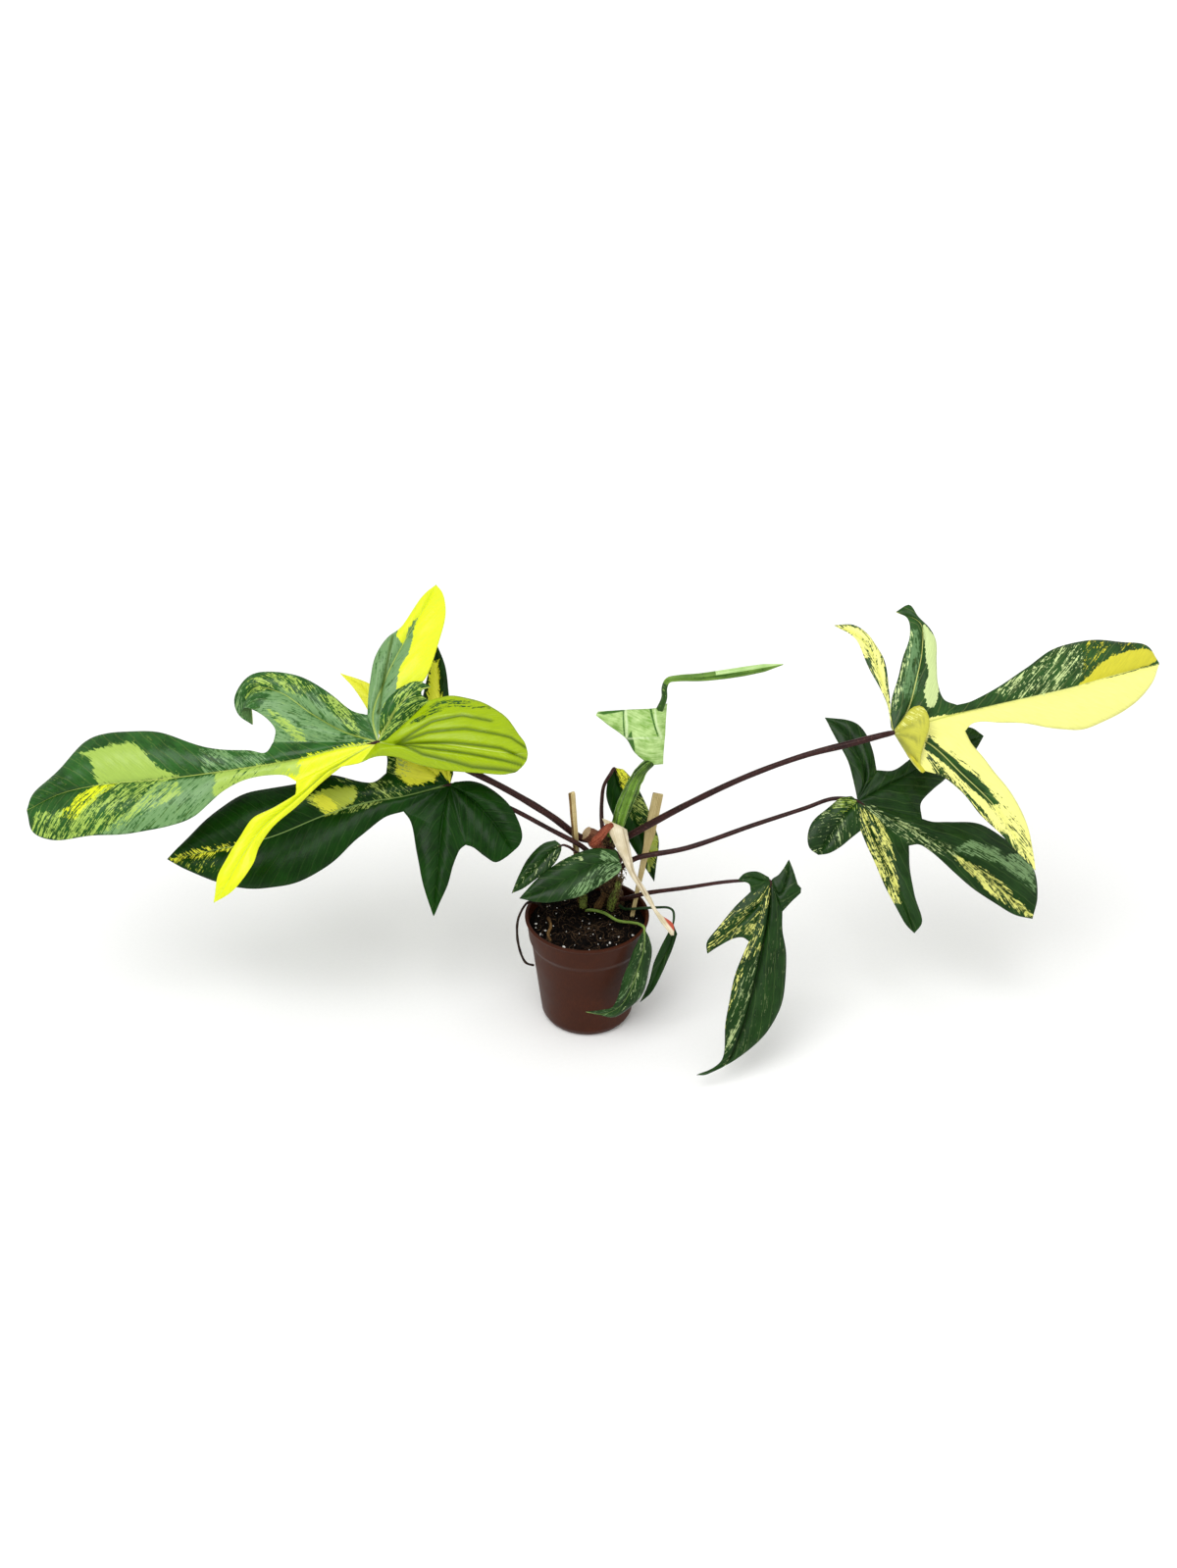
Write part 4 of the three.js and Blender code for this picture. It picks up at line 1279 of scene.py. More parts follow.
@dataclass
class Stake:
    """A split cane.

    Attributes:
        name: the CAD node.
        foot, top: where it starts and ends, in millimetres.
        turn: its turn in degrees about its length.
        thickness: in millimetres.
        outline: (distance from the top, width) in millimetres.
        dark: the first and last of its section's 40 sides that are coloured darker: painted shade
            on the edge turned from the light.
    """

    name: str
    foot: Sequence[float]
    top: Sequence[float]
    turn: float
    thickness: float
    outline: Points
    # Painted shade: these sides are coloured darker as the edge turned from the light.
    dark: tuple[int, int] = (17, 23)

    def make(self, face: Material, cut: Material) -> None:
        """Builds the stake.

        Formula: a section |x / a|^n + |y / b|^n = 1 with n about 6, carried straight down from
        the top while a follows the outline, with flat ends. The sides from the first to the last
        dark one, round one narrow side, take the second material: painted shade.

        Args:
            face: the material of its broad faces.
            cut: the material of its darker sides, painted shade.
        """
        top, foot = np.array(self.top, float), np.array(self.foot, float)
        axis = unit(top - foot)
        length = float(np.linalg.norm(top - foot))
        fall = np.concatenate([[0, 0.25, 0.6], np.linspace(1.2, length - 0.4, 110), [length]])
        outline = as_points(self.outline, 2)
        half = np.interp(fall, outline[:, 0], outline[:, 1]) / 2
        half = half + 0.08 * Rumple(31, 20).at(top - fall[:, None] * axis)
        bevel = 1 - 0.06 * np.exp(-fall / 0.4)
        turn = math.radians(self.turn)
        tilt = np.cross((0, 0, 1), axis)
        wide = self.turned(np.array([math.cos(turn), math.sin(turn), 0.0]), axis, tilt)
        deep = np.cross(axis, wide)
        angle = np.linspace(0, 2 * math.pi, 41)
        x = np.sign(np.cos(angle)) * np.abs(np.cos(angle)) ** (1 / 3)
        y = np.sign(np.sin(angle)) * np.abs(np.sin(angle)) ** (1 / 3)
        centre = top - fall[:, None] * axis
        ring = (centre[:, None] + (half * bevel)[:, None, None] * x[None, :, None] * wide
                + self.thickness / 2 * bevel[:, None, None] * y[None, :, None] * deep)
        ring = np.concatenate([np.broadcast_to(centre[:1, None], ring[:1].shape), ring,
                               np.broadcast_to(centre[-1:, None], ring[:1].shape)])
        ring[:, -1] = ring[:, 0]
        fall = np.concatenate([[-2], fall, [length + 2]])
        around = np.cumsum(np.hypot(np.diff(x, prepend=x[:1]) * outline[0, 1] / 2,
                                    np.diff(y, prepend=y[:1]) * self.thickness / 2))
        flat = np.stack(np.broadcast_arrays(fall[:, None], around[None]), -1)
        # The sides from start to end take the painted shade.
        start, end = self.dark
        grids = [Grid(ring[:, part][:, ::-1], flat[:, part][:, ::-1], material=material)
                 for part, material in ((slice(start + 1), 0), (slice(start, end + 1), 1),
                                        (slice(end, None), 0))]
        settle(build_piece(f"{self.name}_cane", grids, [face, cut]), "bamboo", self.name)

    def turned(self, way: Array, axis: Array, tilt: Array) -> Array:
        """Returns a level direction carried over by the turn that tips the Z axis to axis."""
        cosine = axis[2]
        return (way * cosine + np.cross(tilt, way)
                + tilt * (tilt @ way) / (1 + cosine))


# ---- pot and mix


@dataclass
class Pot:
    """A thin moulded pot with a stepped collar, a turned lip and drain holes in its foot.

    Attributes:
        wall: its section (r, z), up the outside and down the inside, in millimetres.
        holes, hole_radius, hole_circle: its drain holes, and the circle they stand on.
    """

    wall: Points = ("0 0, 34 0, 36.5 0, 38.5 1.6, 41 6.4, 49.5 81, 51.6 85.5, 53.4 103.9, "
                    "54.9 104.8, 55 107, "
                    "51.9 107, 50.9 86.5, 47.7 78.5, 39.5 6, 36.3 2.2, 0 2.2")
    holes: int = 8
    hole_radius: float = 3.5
    hole_circle: float = 25.0

    def make(self, plastic: Material) -> None:
        """Builds the pot as a lathed wall with its drain holes cut through.

        Args:
            plastic: its material.
        """
        profile = self.refined(soften(as_points(self.wall, 2), 1.1), 2.5)
        pot = build_piece("pot_shell", [lathe(profile, 160)], [plastic])
        angle = 2 * math.pi * (np.arange(self.holes) + 0.5) / self.holes
        cutters = []
        for x, y in self.hole_circle * np.stack([np.cos(angle), np.sin(angle)], 1):
            path, radii = rounded(np.array([[x, y, -4.0], [x, y, 8.0]]),
                                  np.full(2, self.hole_radius), 0.0)
            cutters.append(tube(path, radii, 24, reference=(0, 1, 0)))
        cutter = build_piece("drain_hole_cutter", cutters, [])
        cut = pot.modifiers.new("drain holes", "BOOLEAN")
        cut.operation, cut.object, cut.solver = "DIFFERENCE", cutter, "EXACT"
        bpy.context.view_layer.update()
        whole = pot.evaluated_get(bpy.context.evaluated_depsgraph_get())
        mesh = bpy.data.meshes.new_from_object(whole)
        pot.modifiers.clear()
        pot.data = mesh
        bpy.data.objects.remove(cutter)
        settle(pot, "pot", "pot")

    def refined(self, profile: Array, step: float) -> Array:
        """Divides the long straight parts of a profile.

        Args:
            profile: rows x 2 radii and heights.
            step: the longest step wanted, in millimetres.

        Returns:
            The profile with more points and the same corners.
        """
        walk = arc_lengths(profile)
        corners = walk[np.concatenate([[True], np.diff(walk) > 1e-6])]
        stops = np.unique(np.concatenate([corners, np.arange(0, walk[-1], step)]))
        return np.stack([np.interp(stops, walk, column) for column in profile.T], 1)


@dataclass
class PottingMix:
    """Dark potting mix: an uneven surface of peat with bark chips, fibres and perlite.

    Attributes:
        side, top: its section (r, z) inside the pot and over the top, in millimetres.
        chips, fibres, perlite: how many of each lie on it.
        big_perlite: where the big crumbs of perlite lie.
    """

    side: Points = "0 2.6, 36 2.6, 39.1 6.2, 47.3 78.6, 50.5 86.7"
    top: Points = "0 98, 22 98.2, 40 97.6, 51 96.3"
    chips: int = 900
    fibres: int = 130
    perlite: int = 46
    big_perlite: Points = ("-45 -3.1, -36.7 -11.7, -40.9 -16, 27.9 -23.1, 17.5 -38.6, "
                           "-43.1 11.5, 40.2 -18.8, 20 -30, -20 -34")

    def height(self, x: Array, y: Array) -> Array:
        """Finds how high the surface lies.

        Formula: the smooth top plus three uneven fields of 17, 6 and 2.4 mm, which fade out
        towards the pot's wall and over the pressed patch in front of the stem.

        Args:
            x, y: where, in millimetres.

        Returns:
            The heights in millimetres.
        """
        radius = np.hypot(x, y)
        smooth = np.interp(radius, *as_points(self.top, 2).T)
        place = np.stack([x, y, np.zeros_like(x)], -1)
        rough = (1.0 * Rumple(41, 17).at(place) + 0.75 * Rumple(42, 6).at(place)
                 + 0.5 * Rumple(43, 2.4, 20).at(place))
        pressed = np.exp(-((x / 12) ** 2 + ((y + 5) / 11) ** 2) ** 2)
        return smooth + rough * (1 - ramp(radius, 46, 51)) * (1 - 0.8 * pressed) - 1.2 * pressed

    def lumps(self, draw: np.random.Generator, count: int, low: Sequence[float],
              high: Sequence[float], material: int, places: Sequence = ()) -> list[Grid]:
        """Scatters small lumps over the surface.

        Formula: a ball of five rows and six columns, made uneven, stretched by its three sizes,
        turned about Z and tipped, and set a third of the way into the surface.

        Args:
            draw: where the random numbers come from.
            count: how many lumps.
            low, high: the range of the lumps' three half sizes in millimetres.
            material: their material's number.
            places: where the first ones lie.

        Returns:
            One grid for each lump.
        """
        up = np.linspace(-math.pi / 2, math.pi / 2, 5)[:, None]
        turn = np.linspace(0, 2 * math.pi, 7)[None]
        ball = np.stack([np.cos(up) * np.cos(turn), np.cos(up) * np.sin(turn),
                         np.sin(up) * np.ones_like(turn)], -1)
        ball[:, -1] = ball[:, 0]
        ball[0], ball[-1] = (0, 0, -1), (0, 0, 1)
        radius = LUMP_REACH * np.sqrt(draw.uniform(0, 1, count))
        angle = draw.uniform(0, 2 * math.pi, count)
        centre = np.stack([radius * np.cos(angle), radius * np.sin(angle)], 1)
        if len(places):
            centre[:len(places)] = places
        size = draw.uniform(low, high, (count, 3))
        spin, tip = draw.uniform(0, 2 * math.pi, count), draw.normal(0, 0.35, count)
        jitter = 1 + 0.3 * draw.uniform(-1, 1, (count, 5, 7))
        jitter[:, :, -1] = jitter[:, :, 0]
        jitter[:, 0], jitter[:, -1] = 1, 1
        lumps = ball[None] * jitter[..., None] * size[:, None, None]
        x, y, z = np.moveaxis(lumps, -1, 0)
        ct, st = np.cos(tip)[:, None, None], np.sin(tip)[:, None, None]
        x, z = x * ct + z * st, z * ct - x * st
        cs, ss = np.cos(spin)[:, None, None], np.sin(spin)[:, None, None]
        x, y = x * cs - y * ss, x * ss + y * cs
        level = self.height(centre[:, 0], centre[:, 1]) + 0.35 * size[:, 2]
        points = np.stack([x + centre[:, 0, None, None], y + centre[:, 1, None, None],
                           z + level[:, None, None]], -1)[:, :, ::-1]
        return [Grid(lump[:, ::-1], lump[:, ::-1, :2], material=material) for lump in points]

    def make(self, peat: Material, bark: Material,
             white: Material, fibre: Material) -> None:
        """Builds the mix.

        Args:
            peat: the material of the surface.
            bark: the material of the chips.
            white: the material of the perlite.
            fibre: the material of the fibres.
        """
        side, top = as_points(self.side, 2), as_points(self.top, 2)
        radius = np.linspace(top[-1, 0], 0, 75)
        profile = np.vstack([side, np.stack([radius, np.interp(radius, *top.T)], 1)])
        body = lathe(profile, 190)
        upper = body.points[len(side):]
        upper[..., 2] = self.height(upper[..., 0], upper[..., 1])
        upper[:, -1] = upper[:, 0]
        upper[-1] = upper[-1].mean(0)
        draw = np.random.default_rng(23)
        places = as_points(self.big_perlite, 2)
        grids = [body,
                 *self.lumps(draw, self.chips, (0.5, 0.4, 0.3), (2.2, 1.3, 0.8), 1),
                 *self.lumps(draw, self.perlite, (0.4, 0.4, 0.4), (0.95, 0.85, 0.8), 2),
                 *self.lumps(draw, len(places), (1.0, 0.9, 0.8), (1.6, 1.4, 1.2), 2, places)]
        for _ in range(self.fibres):
            reach = FIBRE_REACH * math.sqrt(draw.uniform())
            turn = draw.uniform(0, 2 * math.pi)
            way, bend = draw.uniform(0, 2 * math.pi), draw.normal(0, 0.9)
            t = np.linspace(-1, 1, 8)
            length = draw.uniform(2, 7)
            x = reach * math.cos(turn) + length * (t * math.cos(way) - bend * t**2 * math.sin(way))
            y = reach * math.sin(turn) + length * (t * math.sin(way) + bend * t**2 * math.cos(way))
            inside = np.minimum(1, FIBRE_LIMIT / (np.hypot(x, y) + 1e-6))
            x, y = x * inside, y * inside
            z = self.height(x, y) + 0.35 + draw.uniform(0, 1.6) * (1 - t**2)
            grids.append(tube(np.stack([x, y, z], 1), np.full(8, draw.uniform(0.14, 0.3)), 4,
                              material=3))
        piece = build_piece("potting_mix_surface", grids, [peat, bark, white, fibre])
        settle(piece, "potting_mix", "potting_mix")


@dataclass(frozen=True)
class Moulded:
    """Moulded polypropylene: smooth, a little uneven in its shine, with fine scuffs.

    Attributes:
        name: the material's name.
        colour, rubbed: its colour, and the one where it is scuffed.
        roughness: how dull it is.
    """

    name: str
    colour: str
    rubbed: str
    roughness: float = 0.42

    def make(self) -> Material:
        """Builds and returns the material."""
        paint = Paint(self.name)
        add = paint.add
        room = add("TexCoord", out=3)
        cloud, scuff = (
            add("TexNoise", {"Vector": add("Mapping", {"Vector": room, "Scale": scale}),
                             "Scale": 1.0, "Detail": 3.0, "Roughness": 0.55})
            for scale in (cubes(26), [1250, 1250, 200]))  # scuffs of 0.8 x 5 mm
        share = add("Math", {0: cloud, 1: scuff}, operation="MULTIPLY")
        colour = paint.layered(self.colour, (share, 0.2, 0.42, 0.6, self.rubbed))
        rough = add("MapRange", {0: cloud, 1: 0.3, 2: 0.7, 3: self.roughness - 0.06,
                                 4: self.roughness + 0.1})
        return paint.finish(colour, rough, scuff, 0.04, IOR=1.49, Specular_IOR_Level=0.12)


@dataclass(frozen=True)
class Grains:
    """Loose or crumbly matter: peat, bark chips or perlite.

    Attributes:
        name: the material's name.
        low, high: its two colours.
        grain: the size of its grains in millimetres.
        roughness: how dull it is.
        bump: the grains' height in millimetres.
    """

    name: str
    low: str
    high: str
    grain: float = 1.2
    roughness: float = 0.9
    bump: float = 0.5

    def make(self) -> Material:
        """Builds and returns the material."""
        paint = Paint(self.name)
        add = paint.add
        grain, cloud = (
            add("TexNoise", {"Vector": add("Mapping", {
                "Vector": add("TexCoord", out=3), "Scale": cubes(size)}),
                "Scale": 1.0, "Detail": 4.0, "Roughness": 0.6}) for size in (self.grain, 9))
        colour = paint.layered(
            self.low, (paint.total((cloud, 0.3), (grain, 0.7)), 0.4, 0.64, 1.0, self.high))
        return paint.finish(colour, self.roughness, grain, self.bump, Specular_IOR_Level=0.1)


# ---- the studio


@dataclass
class Studio:
    """A pale floor, soft lights and the camera, none of them part of the object.

    Attributes:
        camera_at: where the camera stands, in metres.
        pitch: its angle from straight down, in degrees.
        lens: its focal length for a 36 mm long side.
        floor_size: the floor's side in metres.
        suns: each light's azimuth and elevation, its width in degrees and its strength.
        air: the strength of the light from all round.
    """

    camera_at: Sequence[float] = (0.0013, -1.4511, 1.1808)
    pitch: float = 57.145
    lens: float = 46.83
    floor_size: float = 30.0
    suns: Sequence[Sequence[float]] = ((-35, 58, 44, 1.65), (60, 50, 80, 0.6))
    air: float = 0.6

    def make(self) -> None:
        """Builds the floor, the lights and the camera."""
        half = self.floor_size / 2 / MM
        side = np.array([-half, half])
        x, y = np.meshgrid(side, side, indexing="ij")
        corners = np.stack([x, y, np.zeros_like(x)], -1)
        paint = Paint("pale_floor_paint")
        grain = paint.add("TexNoise", {"Vector": paint.add("Mapping", {
            "Vector": paint.add("TexCoord", out=3), "Scale": cubes(3)}), "Scale": 1.0})
        tint = paint.layered("#f6f6f5", (grain, 0.0, 1.0, 1.0, "#fbfbfa"))
        floor = build_piece("studio_floor", [Grid(corners, corners[..., :2])],
                            [paint.finish(tint, 0.9, grain, 0.02, Specular_IOR_Level=0.1)])
        scene = bpy.context.scene
        for number, (azimuth, elevation, width, strength) in enumerate(self.suns):
            data = bpy.data.lights.new(f"soft_light_{number}", "SUN")
            data.angle, data.energy = math.radians(width), strength
            light = bpy.data.objects.new(data.name, data)
            light.rotation_euler = (math.radians(90 - elevation), 0, math.radians(azimuth))
            scene.collection.objects.link(light)
        world = bpy.data.worlds.new("studio_air")
        world.use_nodes = True
        world.node_tree.nodes["Background"].inputs[0].default_value = (1, 1, 1, 1)
        world.node_tree.nodes["Background"].inputs[1].default_value = self.air
        scene.world = world
        scene.view_settings.view_transform = "Standard"
        data = bpy.data.cameras.new("photo_camera")
        data.lens, data.sensor_width, data.sensor_fit = self.lens, 36.0, "AUTO"
        camera = bpy.data.objects.new("photo_camera", data)
        camera.location = self.camera_at
        camera.rotation_euler = (math.radians(self.pitch), 0, 0)
        scene.collection.objects.link(camera)
        scene.camera = camera


# ---- what it is made of

# Deep green with a broad, soft shine; fine yellow-green flecks along the veins break it up.
GREEN_SKIN = LeafSkin("waxy_green_leaf", yellow="#dfe07a", pale="#a9bb80")
# Fresh green, blue-grey painted sheen and glowing lemon side by side: the brightest leaf, and the
# glossiest.
LEMON_SKIN = LeafSkin(
    "waxy_lemon_leaf", deep="#163f0c", mid="#2b611e", grey_sheen="#779f66", lime="#a0bb00",
    yellow="#e8f21c", pale="#a9c758", vein="#c3d36c", furrow_shade="#44600a", roughness=0.27, shine=0.3)
# Nearly black-green and quiet, so its few yellow patches stand out below the lemon leaf.
DARK_SKIN = LeafSkin(
    "waxy_dark_leaf", deep="#0a2704", mid="#143d07", lime="#b3c045", yellow="#eeee44",
    pale="#a3b55f", vein_show=0.06, shine=0.13)
# Creamy halves that look almost lit from inside, against half-shaded green.
CREAM_SKIN = LeafSkin(
    "waxy_cream_leaf", deep="#17330d", mid="#2c561d", grey_sheen="#668c5a", lime="#d6cf36",
    yellow="#f8f78f", pale="#cfe29a", vein="#d9dd84", furrow_shade="#8f8a1e", shine=0.25)

# Wine-dark and smooth, with long lighter lines that lead the eye out to the leaves.
STALK_SKIN = Streaked(
    "smooth_maroon_stalk", "#1f0f0e", "#3d201d", "#5a3a34", (30, 1.4), 1.3, 0.25, 0.4, 0.1)
# A young stalk: light, juicy green against the dark mix.
GREEN_STALK = Streaked(
    "smooth_green_stalk", "#55742a", "#8aa54c", "#3d5a20", (20, 1.0), 1.6, 0.1, 0.45, 0.1)
# A thin stalk that reads as a dark green line.
DARK_STALK = Streaked(
    "smooth_dark_green_stalk", "#15280f", "#2f4a28", "#4d6844", (20, 1.0), 1.6, 0.1, 0.4, 0.1)
# Matt brown with scattered light scars, so the stem looks old and corky.
STEM_BARK = Streaked(
    "ringed_stem_bark", "#211710", "#4d3823", "#82693f", (5, 2.0), 1.4, 0.35, 0.8, 0.5)
# Dull straw brown: the tuft looks dry and soft.
ROOT_HAIR = Streaked(
    "dry_root_hair", "#3a2c18", "#7a6440", "#a08a5e", (4, 0.5), 1.0, 0.3, 0.9, 0.1)
# Brown threads that lift the mix out of plain black.
SOIL_FIBRE = Streaked(
    "peat_fibre", "#1c120b", "#5a4430", "#7d6548", (4, 0.5), 1.0, 0.3, 0.9, 0.1)
# Leathery brown streaked with tan, dried on to the stub.
OLD_BROWN = Streaked(
    "dry_brown_sheath", "#4a2c20", "#84563f", "#a97a5c", (16, 1.2), 1.6, 0.25, 0.6, 0.35)
# Rust red with fine ribs: the one warm spot at the crown.
OLD_RED = Streaked(
    "dry_red_sheath", "#5e2415", "#a1553a", "#bb7a5a", (18, 0.9), 1.4, 0.2, 0.5, 0.35)
# Pale, dusty pith where the stub was cut.
CUT_END = Grains("dry_cut_end", "#8b7354", "#cbb48e", 1.0, 0.8, 0.4)
# Olive that yellows in streaks and is spotted brown as it dies back.
OLD_GREEN = Streaked(
    "fading_green_sheath", "#3f501b", "#8f9f4a", "#3c2815", (14, 1.0), 1.8, 0.55, 0.55, 0.3)
# Coarse light and dark fibres, rough as coir.
OLD_FIBRE = Streaked(
    "fibrous_brown_sheath", "#351f10", "#83643a", "#25160a", (14, 0.7), 1.2, 0.3, 0.75, 0.5)
# Dark, dull brown: the root reads as a wiry line beside the pot.
ROOT_SKIN = Streaked(
    "dark_root_skin", "#15100d", "#38281f", "#5d4a3b", (9, 1.0), 1.1, 0.25, 0.75, 0.3)
# Straw yellow with long straight grain, bright against the leaves.
CANE_FACE = Streaked(
    "split_cane_face", "#ae975f", "#dac893", "#8c7443", (40, 0.7), 1.2, 0.12, 0.6, 0.12)
# Darker, rougher brown: painted shade on the edge of the cane that is turned from the light.
CANE_SHADED_SIDE = Streaked(
    "split_cane_shaded_side", "#3d2b16", "#8a6c3c", "#b89d66", (30, 0.5), 1.2, 0.2, 0.8, 0.25)
# Broad stripes of bright and deep green that run up the ribs with a moist shine.
NEW_SHEATH = Streaked(
    "fresh_green_sheath", "#163404", "#7da93a", "#b9d380", (90, 2.4), 1.5, 0.06, 0.32, 0.3)
# Tender, milky green, the lightest tissue on the plant; its dark folds are painted shade, and its
# pale creases painted highlights on the fold ridges.
NEW_LEAF = MarkedSkin("fresh_rolled_leaf", "#79a544", "#bfdc92", "#3a6a1d", "#dceebd")
# Glossy mid green, streaked along the roll so that it looks tightly wound.
ROLL_SKIN = Streaked(
    "fresh_rolled_tip", "#335c13", "#7ba13f", "#27430f", (60, 2.2), 2.0, 0.15, 0.36, 0.15)
# Dark green that sets the roll off from the leaf behind it.
NECK_SKIN = Streaked(
    "dark_folded_neck", "#16300a", "#38601c", "#86ac55", (30, 1.5), 2.0, 0.15, 0.36, 0.15)
# A pale strip along the upper front of the roll's far end.
PALE_STRIP_SKIN = Streaked(
    "pale_rolled_strip", "#8db95c", "#cfe6a6", "#e4f2cc", (60, 1.6), 2.0, 0.1, 0.34, 0.1)
# Cream paper, crinkled and matt, with a brick-red patch near its tip.
PAPER_SHEATH = MarkedSkin(
    "papery_dry_sheath", "#c3b48f", "#e8ddc3", "#b9503a", "#8f7751", (30, 1.0), 0.6)
# Even chocolate brown with a dull gleam and faint rubbed marks.
POT_PLASTIC = Moulded("moulded_brown_pot", "#3a190a", "#4c2410")
# Almost black and crumbly, so that everything on it stands out.
PEAT = Grains("dark_peat", "#020101", "#0d0805", 1.4, 0.95, 0.8)
# Chips a shade browner than the peat, which give it depth.
BARK = Grains("bark_chip", "#080503", "#291b11", 1.2, 0.85, 0.3)
# Chalky white crumbs that sparkle in the dark mix.
PERLITE = Grains("perlite", "#c4c2ba", "#f2f1ec", 0.8, 0.9, 0.2)


